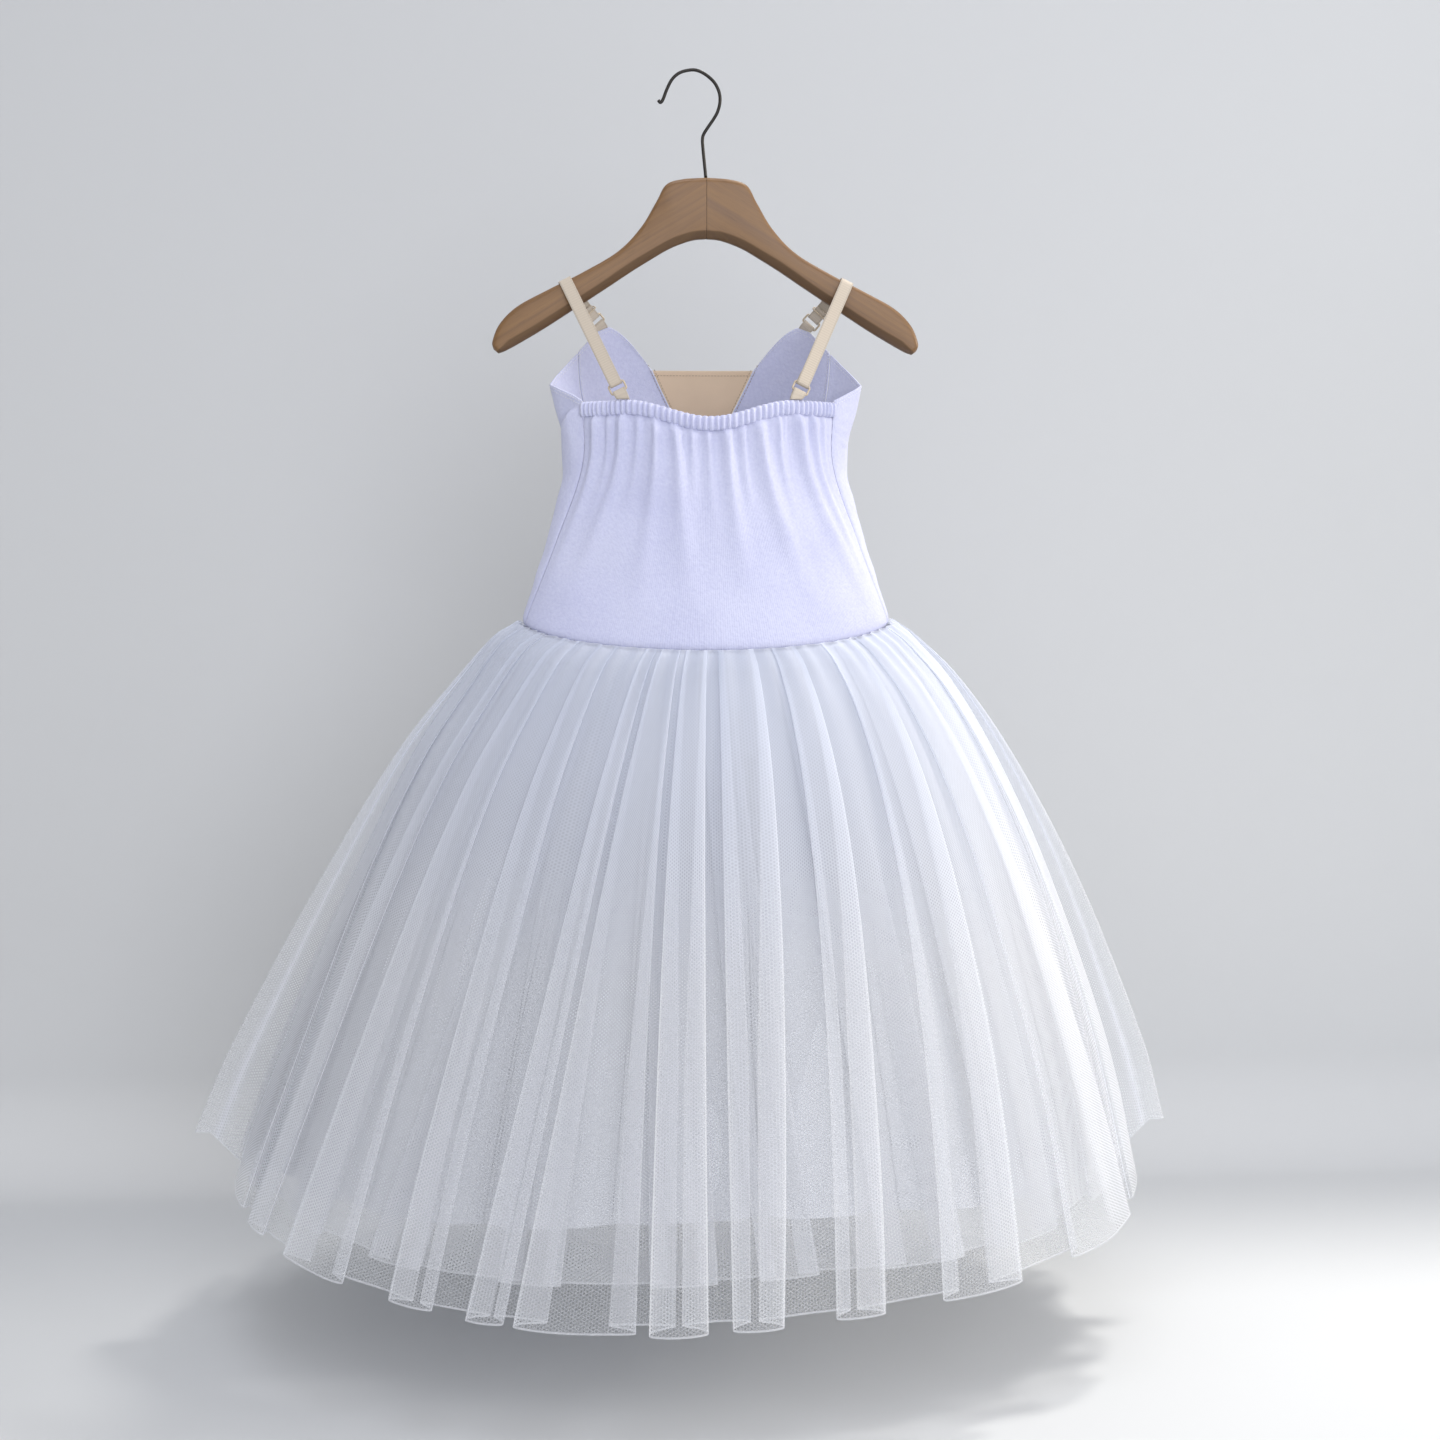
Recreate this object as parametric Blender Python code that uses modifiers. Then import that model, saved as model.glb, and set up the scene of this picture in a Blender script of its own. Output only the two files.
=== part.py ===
"""A child's ballet dress with a long tulle skirt, hung by its straps on a wooden hanger.

Units are metres and +Z is up. The origin is the inside of the hook's crown, where a pin or a
rail carries the hanger. The dress's back faces -Y and its front faces +Y. Angles run round the
dress from its right side (+X) through the front (+Y), the left side and the back (-Y).
"""

import math

import bmesh
import bpy
from mathutils import Vector

# Shared sizes
GAP = 0.0003  # between pieces at a seam
CENTRE_X = 0.013  # the middle of hanger and dress, which lies beside the hook's crown
CLOTH = 0.0012  # bodice jersey, taken with its turned edges
TULLE = 0.0010
SEAM_TURN = 0.13  # half of a seam's gap, in degrees round the body

# Hanger and hook
WIRE_RADIUS = 0.0013
HOOK_COLUMNS = ("across", "up")
HOOK = (  # the wire's middle, from the curled tip over the crown down to the wood
    (-0.0249, -0.0222),
    (-0.0232, -0.0240),
    (-0.0212, -0.0218),
    (-0.0181, -0.0139),
    (-0.0138, -0.0059),
    (-0.0079, -0.0009),
    (0.0000, 0.0013),
    (0.0063, 0.0010),
    (0.0130, -0.0023),
    (0.0195, -0.0081),
    (0.0232, -0.0153),
    (0.0240, -0.0226),
    (0.0224, -0.0298),
    (0.0195, -0.0355),
    (0.0145, -0.0428),
    (0.0109, -0.0486),
    (0.0101, -0.0529),
    (0.0104, -0.0587),
    (0.0115, -0.0700),
)
HOOK_STEPS = 36
WOOD_TOP = -0.0824
WOOD_HALF_DEPTH = 0.0068
WOOD_ROUND = 0.0024  # of the upper edges
WOOD_CHAMFER = 0.0058  # of the lower edges
WOOD_JOINT = 0.00015  # half of the glued joint's gap

# The wooden arm seen from the front: its upper and its lower edge, from the middle outwards
ARM_UPPER_COLUMNS = ("out", "z")
ARM_UPPER = (
    (0.0000, -0.0824),
    (0.0190, -0.0838),
    (0.0320, -0.0882),
    (0.0400, -0.1018),
    (0.0520, -0.1215),
    (0.0700, -0.1402),
    (0.0969, -0.1562),
    (0.1254, -0.1705),
    (0.1500, -0.1838),
    (0.1640, -0.1975),
    (0.1698, -0.2110),
    (0.1692, -0.2172),
)
ARM_LOWER_COLUMNS = ("out", "z")
ARM_LOWER = (
    (0.0000, -0.1301),
    (0.0100, -0.1310),
    (0.0205, -0.1342),
    (0.0310, -0.1388),
    (0.0440, -0.1464),
    (0.0590, -0.1556),
    (0.0779, -0.1681),
    (0.1040, -0.1850),
    (0.1290, -0.2010),
    (0.1480, -0.2122),
    (0.1590, -0.2182),
    (0.1650, -0.2206),
)
ARM_STEPS = 21

# The bodice's cross-sections. Above 1, "point" pinches the two sides
BODY_COLUMNS = ("z", "half_width", "back_depth", "front_depth", "point")
BODY = (
    (-0.200, 0.1280, 0.046, 0.040, 1.25),
    (-0.245, 0.1255, 0.048, 0.044, 1.25),
    (-0.305, 0.1135, 0.047, 0.049, 1.12),
    (-0.369, 0.1286, 0.051, 0.050, 1.04),
    (-0.434, 0.1490, 0.060, 0.058, 1.00),
    (-0.480, 0.1620, 0.066, 0.064, 1.00),
)

# Edges and seams of the bodice
BACK_SEAM_TOP = -35.0  # side seam's place round the body, in degrees
BACK_SEAM_FOOT = -21.0
PRINCESS_SEAM = 36.0
CUP_PEAK = 50.0
CUP_CORNER = 71.0  # where the cup meets the insert's top edge
SIDE_TOP_Z = -0.245
SEAM_TOP_Z = -0.2575
CUP_PEAK_Z = -0.197
CUP_SEAT_Z = -0.200  # where the peak is cut blunt for the strap's tab
CUP_SEAT_SLOPE = 0.40
INSERT_TOP_Z = -0.232
INSERT_POINT_Z = -0.366
WAIST_Z = -0.434
WAIST_DIP_BACK = 0.020
WAIST_DIP_FRONT = 0.014
PANEL_ROWS = 8
INSERT_FIRST_ROW = 3  # the panels' row where the insert comes to its point

# Elastic casing and gathers of the back
CASING_HEIGHT = 0.0124
CASING_HALF_DEPTH = 0.0021
CASING_SECTION_COLUMNS = ("out", "up")  # in half depths and half heights
CASING_SECTION = ((1.0, -0.5), (1.0, 0.5), (0.3, 1.0), (-0.7, 0.7), (-0.7, -0.7), (0.3, -1.0))
CASING_MIDDLE_Z = -0.2700
CASING_RISE = 0.0128  # from the middle of the back to the straps
CASING_RIBS = 48
RIB_HEIGHT = 0.0009
STRAP_BACK_X = 0.068  # where a strap meets the casing, from the middle
GATHERS = 15
GATHER_DEPTH = 0.0030

# Straps and their fittings
STRAP_WIDTH = 0.0103
STRAP_THICK = 0.0010
STRAP_OVER_X = 0.112  # where a strap lies on the arm, from the middle
STRAP_SLOPE = math.radians(26.6)  # of the arm there
STRAP_OVER_COLUMNS = ("y", "rise")
STRAP_OVER = (
    (-0.0078, -0.0020),
    (-0.0064, -0.0003),
    (-0.0040, 0.0006),
    (0.0040, 0.0006),
    (0.0064, -0.0003),
    (0.0078, -0.0020),
)
BACK_TAB_RISE = 0.0066  # of a ring's lower bar over its seat
FRONT_TAB_RISE = 0.0044
TAB_HALF_GAP = 0.0008  # from a tab's middle to each of its two legs at the seat
RING_WIRE = 0.0008
RING_HALF_WIDTH = 0.0064
RING_HALF_HEIGHT = 0.0038
LOOP_RADIUS = 0.0017  # of the strap's fold round a bar, to the strap's middle
SLIDER_HALF_WIDTH = 0.0064
SLIDER_HALF_DEPTH = 0.0034
SLIDER_RISE = 0.0100  # of the front slider over its ring
SLIDER_WIRE = 0.0006

# Skirt layers, outermost first. Hem sizes are half widths and half depths
SKIRT_SEAM = 0.0005  # half of the gap between back and front width
HEM_SHIFT = -0.018  # the skirt hangs fuller on its left
HEM_WIDTH = 0.386
HEM_DEPTH = 0.291
HEM_SIDE_Z = -0.850
HEM_MIDDLE_Z = -0.908
BELL_COLUMNS = ("drop", "spread_right", "spread_left")
BELL = (
    (0.00, 0.000, 0.000),
    (0.03, 0.095, 0.090),
    (0.10, 0.240, 0.195),
    (0.24, 0.425, 0.372),
    (0.46, 0.640, 0.577),
    (0.74, 0.850, 0.802),
    (1.00, 1.000, 1.000),
)
EVEN_DROP = 0.46  # down to here all layers have their rows at the same heights
LAYER_COLUMNS = (
    "name", "inset", "hem_inset", "side_z", "middle_z",
    "folds", "fold_depth", "fold_turn", "across",
)
LAYERS = (
    ("outer", 0.0001, 0.0001, -0.850, -0.908, 15, 0.0085, 0.60, 66),
    ("middle", 0.0015, 0.0240, -0.866, -0.894, 11, 0.0070, 0.50, 44),
    ("inner", 0.0029, 0.0475, -0.864, -0.862, 9, 0.0060, 0.40, 36),
)

# Brief under the skirt
BRIEF_INSET = 0.0046
BRIEF_FOOT_Z = -0.540
BRIEF_FOOT_HALF = 0.024
BRIEF_SIDE_HEIGHT = 0.020
BRIEF_BOWL = 0.085  # depth of its bowl under the waist seam
BRIEF_LEG = {"back": 0.62, "front": 0.95}  # below 1 the leg's edge is cut fuller

FINISHES = {  # colour, roughness and metallic share
    "jersey": ((0.86, 0.86, 0.92, 1.0), 0.55, 0.0),
    "tulle": ((0.92, 0.93, 0.96, 1.0), 0.80, 0.0),
    "nude_satin": ((0.56, 0.45, 0.36, 1.0), 0.40, 0.0),
    "strap_elastic": ((0.72, 0.66, 0.56, 1.0), 0.50, 0.0),
    "coated_metal": ((0.55, 0.50, 0.42, 1.0), 0.35, 0.6),
    "beech": ((0.32, 0.20, 0.11, 1.0), 0.45, 0.0),
    "dark_steel": ((0.05, 0.05, 0.05, 1.0), 0.30, 1.0),
}


def blend(a, b, share):
    return a + (b - a) * share


def smooth_row(table, key):
    """The table's row at a key between its own, read along a smooth curve. Keys are the first column."""
    rising = table[-1][0] > table[0][0]
    rows = table if rising else table[::-1]
    key = min(max(key, rows[0][0]), rows[-1][0])
    i = max(n for n in range(len(rows) - 1) if rows[n][0] <= key)

    def slope(n, column):
        low, high = rows[max(n - 1, 0)], rows[min(n + 1, len(rows) - 1)]
        return (high[column] - low[column]) / (high[0] - low[0])

    span = rows[i + 1][0] - rows[i][0]
    t = (key - rows[i][0]) / span
    found = [key]
    for column in range(1, len(rows[0])):
        start, end = rows[i][column], rows[i + 1][column]
        found.append(
            (2 * t**3 - 3 * t**2 + 1) * start
            + (t**3 - 2 * t**2 + t) * span * slope(i, column)
            + (3 * t**2 - 2 * t**3) * end
            + (t**3 - t**2) * span * slope(i + 1, column)
        )
    return found


def smooth_path(points, count):
    """Evenly numbered points on a smooth curve through the given ones, ends included."""
    table = [(i, *p) for i, p in enumerate(points)]
    last = len(points) - 1
    return [Vector(smooth_row(table, last * n / count)[1:]) for n in range(count + 1)]


def clear_scene():
    for old in list(bpy.data.objects):
        bpy.data.objects.remove(old)


def new_collection():
    dress = bpy.data.collections.new("ballet_dress")
    bpy.context.scene.collection.children.link(dress)
    return dress


def new_material(name, finish):
    colour, roughness, metallic = FINISHES[finish]
    material = bpy.data.materials.new(name)
    material.use_nodes = True
    shader = material.node_tree.nodes["Principled BSDF"]
    shader.inputs["Base Color"].default_value = colour
    shader.inputs["Roughness"].default_value = roughness
    shader.inputs["Metallic"].default_value = metallic
    material.diffuse_color = colour
    return material


def add_object(name, data, finish):
    piece = bpy.data.objects.new(name, data)
    data.materials.append(new_material(name, finish))
    COLLECTION.objects.link(piece)
    return piece


def mapped_grid(across, down, place):
    """A grid whose corner-to-corner shares (u across, v up) are moved to place(u, v)."""
    mesh = bmesh.new()
    bmesh.ops.create_grid(mesh, x_segments=across, y_segments=down, size=0.5)
    for vertex in mesh.verts:
        vertex.co = place(vertex.co.x + 0.5, vertex.co.y + 0.5)
    return mesh


def to_data(mesh, name, smooth=True):
    data = bpy.data.meshes.new(name)
    mesh.to_mesh(data)
    mesh.free()
    if smooth:
        data.shade_smooth()
    return data


def add_wall(name, finish, across, down, place, thickness, inward=True):
    """Cloth of one thickness on an open surface. Its outer face is the surface itself."""
    data = to_data(mapped_grid(across, down, place), name)
    piece = add_object(name, data, finish)
    wall = piece.modifiers.new("thickness", "SOLIDIFY")
    wall.thickness = thickness
    wall.offset = -1.0 if inward else 0.0
    return piece


def add_tube(name, finish, across, around, place):
    """A closed tube: u runs along it, v once round it, and both ends are filled."""
    mesh = mapped_grid(across, around, place)
    bmesh.ops.remove_doubles(mesh, verts=mesh.verts, dist=1e-6)
    bmesh.ops.holes_fill(mesh, edges=mesh.edges)
    return add_object(name, to_data(mesh, name), finish)


def add_wire(name, finish, points, radius, closed=False, sides=3):
    curve = bpy.data.curves.new(name, "CURVE")
    curve.dimensions = "3D"
    curve.bevel_depth = radius
    curve.bevel_resolution = sides
    curve.use_fill_caps = not closed
    spline = curve.splines.new("POLY")
    spline.points.add(len(points) - 1)
    for knot, point in zip(spline.points, points):
        knot.co = (*point, 1.0)
    spline.use_cyclic_u = closed
    return add_object(name, curve, finish)


# Hanger


def hook_points():
    foot = Vector((CENTRE_X - 0.0003, 0, WOOD_TOP + GAP))
    line = smooth_path([Vector((across, 0, up)) for across, up in HOOK], HOOK_STEPS)
    return [*line, foot]


def build_hook():
    add_wire("hanger_hook", "dark_steel", hook_points(), WIRE_RADIUS, sides=2)


def arm_section(share):
    """Upper and lower edge points of the wooden arm at a share of its length, as (out, z)."""
    upper = smooth_path([(p[0], p[1]) for p in ARM_UPPER], ARM_STEPS)
    lower = smooth_path([(p[0], p[1]) for p in ARM_LOWER], ARM_STEPS)
    i = round(share * ARM_STEPS)
    return upper[i], lower[i]


def arm_place(side):
    """Maps the arm's grid: u from the middle to the tip, v once round its eight-cornered section."""
    halves = [arm_section(n / ARM_STEPS) for n in range(ARM_STEPS + 1)]

    def place(u, v):
        step = round(u * ARM_STEPS)
        upper, lower = halves[step]
        height = (lower - upper).length
        top = min(WOOD_ROUND / height, 0.3)
        foot = 1 - min(WOOD_CHAMFER / height, 0.3)
        depth = WOOD_HALF_DEPTH * (1 - 0.35 * max(0.0, u - 0.9) / 0.1)
        narrow = depth - WOOD_ROUND * 0.8
        keel = depth - WOOD_CHAMFER * 0.62
        corners = (
            (0.0, -narrow), (0.0, narrow), (top, depth), (foot, depth),
            (1.0, keel), (1.0, -keel), (foot, -depth), (top, -depth), (0.0, -narrow),
        )
        down, y = corners[round(v * 8)]
        out, z = upper.lerp(lower, down)
        return Vector((CENTRE_X + side * max(out, WOOD_JOINT), y, z))

    return place


def build_arms():
    for name, side in (("hanger_arm_left", -1), ("hanger_arm_right", 1)):
        place = arm_place(side)
        turned = place if side > 0 else lambda u, v, place=place: place(u, 1 - v)
        arm = add_tube(name, "beech", ARM_STEPS, 8, turned)
        arm.data.set_sharp_from_angle(angle=math.radians(30))


# Bodice


def body_point(degrees, z, outward=0.0):
    _, half_width, back_depth, front_depth, point = smooth_row(BODY, z)
    angle = math.radians(degrees)
    across, deep = math.cos(angle), math.sin(angle)
    depth = front_depth if deep >= 0 else back_depth
    return Vector((
        CENTRE_X + (half_width + outward) * across,
        (depth + outward) * math.copysign(abs(deep) ** point, deep),
        z,
    ))


def waist_z(degrees):
    deep = math.sin(math.radians(degrees))
    dip = WAIST_DIP_FRONT if deep > 0 else WAIST_DIP_BACK
    return WAIST_Z - dip * abs(deep) ** 1.3


def casing_top(x):
    """Height of the casing's upper edge at a distance x from the middle."""
    share = min(abs(x) / STRAP_BACK_X, 1.0)
    sag = max(abs(x) - STRAP_BACK_X, 0.0) * 0.05
    return CASING_MIDDLE_Z + CASING_RISE * (1 - math.cos(math.pi * share)) / 2 - sag


def seam_angle(z):
    """Where the side seam lies round the body at a height."""
    return blend(BACK_SEAM_TOP, BACK_SEAM_FOOT, (SEAM_TOP_Z - z) / (SEAM_TOP_Z - WAIST_Z))


def front_top(degrees):
    """Height of the upper edge from the side seam round to the insert, on the right."""
    across = math.cos(math.radians(degrees))
    peak = math.cos(math.radians(CUP_PEAK))
    if degrees < 0:
        share = (1 - across) / (1 - math.cos(math.radians(BACK_SEAM_TOP)))
        return blend(SIDE_TOP_Z, SEAM_TOP_Z, share)
    if degrees < CUP_PEAK:
        edge = blend(SIDE_TOP_Z, CUP_PEAK_Z, (1 - across) / (1 - peak))
    else:
        share = (peak - across) / (peak - math.cos(math.radians(CUP_CORNER)))
        edge = INSERT_TOP_Z + (CUP_PEAK_Z - INSERT_TOP_Z) * math.cos(math.pi / 2 * share)
    return min(edge, CUP_SEAT_Z - CUP_SEAT_SLOPE * BODY[0][1] * (across - peak))


def insert_edge(z):
    """Where the insert's right edge lies round the body at a height."""
    share = (INSERT_TOP_Z - z) / (INSERT_TOP_Z - INSERT_POINT_Z)
    return blend(CUP_CORNER, 90.0, min(max(share, 0.0), 1.0))


def gather(u, v):
    """Outward swell of the back's gathers: strongest under the casing, gone at the waist."""
    phase = 2 * math.pi * (GATHERS * u + 0.35 * math.sin(2 * math.pi * u + 0.6))
    size = 1 + 0.35 * math.sin(2 * math.pi * 3 * u + 1.0)
    edge = min(1.0, 12 * u, 12 * (1 - u))
    return GATHER_DEPTH * size * edge * v**1.6 * (0.5 + 0.5 * math.cos(phase))


def row_z(v, foot, top):
    """Height of a panel's row. The uppermost row lies beside the casing."""
    knee = 1 - 1 / PANEL_ROWS
    if v <= knee:
        return blend(foot, top - CASING_HEIGHT, v / knee)
    return blend(top - CASING_HEIGHT, top, (v - knee) / (1 - knee))


def back_place(u, v):
    top_angle = blend(180 - BACK_SEAM_TOP, 360 + BACK_SEAM_TOP, u)
    edge_x = body_point(top_angle, SEAM_TOP_Z).x - CENTRE_X
    top = casing_top(edge_x) - CASING_HEIGHT - GAP
    seam_foot = seam_angle(waist_z(BACK_SEAM_FOOT))
    foot = waist_z(blend(180 - seam_foot, 360 + seam_foot, u))
    z = blend(foot, top, v)
    seam = seam_angle(z) - SEAM_TURN
    return body_point(blend(180 - seam, 360 + seam, u), z, gather(u, v))


def side_place(u, v):
    foot_angle = blend(BACK_SEAM_FOOT, PRINCESS_SEAM, u)
    z = row_z(v, waist_z(foot_angle), front_top(blend(BACK_SEAM_TOP, PRINCESS_SEAM, u)))
    seam_z = row_z(v, waist_z(BACK_SEAM_FOOT), SEAM_TOP_Z)
    start = seam_angle(seam_z) + SEAM_TURN
    return body_point(blend(start, PRINCESS_SEAM - SEAM_TURN, u), z)


def cup_place(u, v):
    z = row_z(v, waist_z(blend(PRINCESS_SEAM, 90.0, u)), front_top(blend(PRINCESS_SEAM, CUP_CORNER, u)))
    inner_z = row_z(v, waist_z(90.0), INSERT_TOP_Z)
    return body_point(blend(PRINCESS_SEAM + SEAM_TURN, insert_edge(inner_z) - SEAM_TURN, u), z)


def insert_place(u, v):
    z = row_z(blend(INSERT_FIRST_ROW / PANEL_ROWS, 1, v), waist_z(90.0), INSERT_TOP_Z)
    edge = insert_edge(z) + SEAM_TURN
    return body_point(blend(edge, 180.0 - edge, u), z)


def mirrored(place):
    """The same panel on the left side, still facing out."""

    def turned(u, v):
        point = place(1 - u, v)
        return Vector((2 * CENTRE_X - point.x, point.y, point.z))

    return turned


def casing_place(u, v):
    """A ribbed, slightly flattened tube along the top of the back."""
    seam = BACK_SEAM_TOP - SEAM_TURN
    angle = blend(180 - seam, 360 + seam, u)
    edge = body_point(angle, SEAM_TOP_Z)
    rib = 0.5 + 0.5 * math.cos(2 * math.pi * CASING_RIBS * u)
    z = casing_top(edge.x - CENTRE_X) - CASING_HEIGHT / 2
    out, up = CASING_SECTION[round(v * 6) % 6]
    swell = (CASING_HALF_DEPTH + RIB_HEIGHT * rib) * out
    return body_point(angle, z, swell - 0.0008) + Vector((0, 0, (CASING_HEIGHT / 2 - GAP) * up))


def build_bodice():
    rows = PANEL_ROWS
    add_wall("back_panel", "jersey", 60, rows - 1, back_place, CLOTH)
    casing = add_tube("back_casing", "jersey", CASING_RIBS * 2, 6, casing_place)
    casing.data.shade_flat()
    add_wall("side_panel_right", "jersey", 11, rows, side_place, CLOTH)
    add_wall("side_panel_left", "jersey", 11, rows, mirrored(side_place), CLOTH)
    add_wall("front_panel_right", "jersey", 10, rows, cup_place, CLOTH)
    add_wall("front_panel_left", "jersey", 10, rows, mirrored(cup_place), CLOTH)
    add_wall("front_insert", "nude_satin", 8, rows - INSERT_FIRST_ROW, insert_place, CLOTH)


# Straps


def ring_frame(start, start_across, seat, seat_across, rise):
    """Middle and directions of the ring over a seat: where it is, across, down and outwards."""
    down = (seat - start).normalized()
    across = (start_across + seat_across).normalized()
    across = (across - down * across.dot(down)).normalized()
    normal = down.cross(across)
    if normal.y * seat.y < 0:
        normal = -normal
    return seat - down * (rise + RING_HALF_HEIGHT), across, down, normal


def ring_points(middle, one, half_one, other, half_other):
    """A rectangle with cut corners, spanned by two directions."""
    cut = 0.0012
    corners = []
    for a, b in ((1, 1), (-1, 1), (-1, -1), (1, -1)):
        first = (a * (half_one - cut), b * half_other)
        second = (a * half_one, b * (half_other - cut))
        corners += [first, second] if a * b < 0 else [second, first]
    return [middle + one * p + other * q for p, q in corners]


def turn_round(bar, down, normal):
    """Half a turn of a band round a bar, from its outer side to its inner side."""
    turns = [math.pi * n / 6 for n in range(7)]
    return [bar + LOOP_RADIUS * (normal * math.cos(t) + down * math.sin(t)) for t in turns]


def add_band(name, points, acrosses):
    """A flat band along a line of points, with its direction across at each of them."""
    last = len(points) - 1

    def place(u, v):
        n = round(u * last)
        return points[n] + acrosses[n] * (v - 0.5) * STRAP_WIDTH

    add_wall(name, "strap_elastic", last, 1, place, STRAP_THICK, inward=False)


def strap_run(ring, over, over_across, tail):
    """Points from the strap's inner end round the ring's upper bar and up to the arm."""
    middle, across, down, normal = ring
    bar = middle - down * RING_HALF_HEIGHT
    turn = turn_round(bar, down, normal)[::-1]
    inner_end = bar - normal * LOOP_RADIUS * 0.55 - down * tail
    points = [inner_end, *turn]
    acrosses = [across] * len(points)
    for share in (0.33, 0.67):
        points.append(turn[-1].lerp(over, share))
        acrosses.append(across.lerp(over_across, share).normalized())
    return points, acrosses


def build_ring(name, ring, seat, seat_across):
    """The ring and the short tab that ties its lower bar to the garment's edge."""
    place, word = name
    middle, across, down, normal = ring
    outline = ring_points(middle, across, RING_HALF_WIDTH, down, RING_HALF_HEIGHT)
    add_wire(f"{place}_ring_{word}", "coated_metal", outline, RING_WIRE, closed=True, sides=1)
    turn = turn_round(middle + down * RING_HALF_HEIGHT, -down, normal)
    turn = [turn[0] + down * LOOP_RADIUS, *turn, turn[-1] + down * LOOP_RADIUS]
    ends = [seat + normal * TAB_HALF_GAP, seat - normal * TAB_HALF_GAP]
    points = [ends[0], *turn, ends[1]]
    add_band(f"{place}_tab_{word}", points, [seat_across, *[across] * len(turn), seat_across])


def build_strap(word, side):
    over_across = Vector((math.cos(STRAP_SLOPE), 0, -side * math.sin(STRAP_SLOPE)))
    up = Vector((side * math.sin(STRAP_SLOPE), 0, math.cos(STRAP_SLOPE)))
    crest = Vector((CENTRE_X + side * STRAP_OVER_X, 0, smooth_row(ARM_UPPER, STRAP_OVER_X)[1]))
    lift = STRAP_THICK / 2 + GAP
    over = [crest + Vector((0, y, 0)) + up * (lift + rise) for y, rise in STRAP_OVER]

    seat_turn = math.acos(STRAP_BACK_X / smooth_row(BODY, -0.256)[1])
    back_seat = Vector((
        CENTRE_X + side * STRAP_BACK_X,
        body_point(-math.degrees(seat_turn), -0.256).y,
        casing_top(STRAP_BACK_X),
    ))
    back_across = Vector((1, side * 0.25, 0)).normalized()
    peak = body_point(CUP_PEAK, CUP_SEAT_Z)
    front_seat = Vector((
        CENTRE_X + side * (peak.x - CENTRE_X), peak.y - CLOTH / 2, CUP_SEAT_Z + 2 * GAP,
    ))
    front_across = Vector((1, -side * 0.45, -side * CUP_SEAT_SLOPE)).normalized()

    back_ring = ring_frame(over[0], over_across, back_seat, back_across, BACK_TAB_RISE)
    front_ring = ring_frame(over[-1], over_across, front_seat, front_across, FRONT_TAB_RISE)
    build_ring(("back", word), back_ring, back_seat, back_across)
    build_ring(("front", word), front_ring, front_seat, front_across)

    back_points, back_acrosses = strap_run(back_ring, over[0], over_across, 0.0090)
    front_points, front_acrosses = strap_run(front_ring, over[-1], over_across, SLIDER_RISE)
    points = [*back_points, *over, *front_points[::-1]]
    acrosses = [*back_acrosses, *[over_across] * len(over), *front_acrosses[::-1]]
    add_band(f"strap_{word}", points, acrosses)

    middle, across, down, normal = front_ring
    keeper = middle - down * (RING_HALF_HEIGHT + SLIDER_RISE - 0.0035)
    outline = ring_points(keeper, across, SLIDER_HALF_WIDTH, normal, SLIDER_HALF_DEPTH)
    add_wire(f"front_slider_{word}", "coated_metal", outline, SLIDER_WIRE, closed=True, sides=1)


# Skirt


def hem_z(degrees, side_z, middle_z):
    deep = abs(math.sin(math.radians(degrees)))
    ripple = 0.005 * math.sin(math.radians(4 * degrees) + 1.0)
    return blend(side_z, middle_z, deep**1.4) + ripple


def bell_spread(drop, across):
    """How far out the skirt has come at a drop, 0 at the waist and 1 at the hem."""
    i = max(n for n in range(len(BELL) - 1) if BELL[n][0] <= max(drop, 0.0))
    (low, *start), (high, *end) = BELL[i], BELL[i + 1]
    right, left = (blend(a, b, (drop - low) / (high - low)) for a, b in zip(start, end))
    return blend(left, right, (across + 1) / 2)


def layer_point(size, angle, drop):
    """A point of a skirt layer without its folds, at a share of the layer's own drop."""
    across, deep = math.cos(math.radians(angle)), math.sin(math.radians(angle))
    top = waist_z(angle) - GAP - size["inset"] / 2
    full = top - hem_z(angle, HEM_SIDE_Z, HEM_MIDDLE_Z)
    if drop > EVEN_DROP:
        own = (top - hem_z(angle, size["side_z"], size["middle_z"])) / full
        drop = blend(EVEN_DROP, own, (drop - EVEN_DROP) / (1 - EVEN_DROP))
    inset = blend(size["inset"], size["hem_inset"], drop)
    waist = body_point(angle, top, -inset)
    hem_x = CENTRE_X + HEM_SHIFT + (HEM_WIDTH - inset) * across
    spread = bell_spread(drop, across)
    x = blend(waist.x, hem_x, spread)
    return Vector((x, blend(waist.y, (HEM_DEPTH - inset) * deep, spread), top - drop * full))


def layer_place(layer, start):
    """Maps one width of a skirt layer: u half round from start in degrees, v from hem to waist."""
    size = dict(zip(LAYER_COLUMNS, layer))
    pitch = 180 / size["folds"]

    def place(u, v):
        drop = BELL[round((1 - v) * (len(BELL) - 1))][0]
        seam = math.degrees(SKIRT_SEAM / blend(BODY[4][3], HEM_DEPTH, drop))
        across = start + blend(seam, 180 - seam, u)
        wander = 1.5 * math.sin(math.radians(6 * across) + 0.7) + 0.7 * math.sin(math.radians(14 * across))
        phase = 2 * math.pi * size["folds"] * u + wander
        lively = 1 + 0.30 * math.sin(math.radians(10 * across) + 0.4) + 0.15 * math.sin(math.radians(22 * across))
        fade = math.sin(math.pi * u) ** 0.35 if 0 < u < 1 else 0.0
        turn = size["fold_turn"] * pitch / (2 * math.pi) * drop * fade
        angle = across + turn * math.sin(phase + 0.5)
        crest = lively * (1 + math.cos(phase)) - 1
        swell = size["fold_depth"] * drop * crest * fade
        out = Vector((math.cos(math.radians(angle)), math.sin(math.radians(angle)), 0))
        return layer_point(size, angle, drop) + out * swell

    return place


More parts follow.
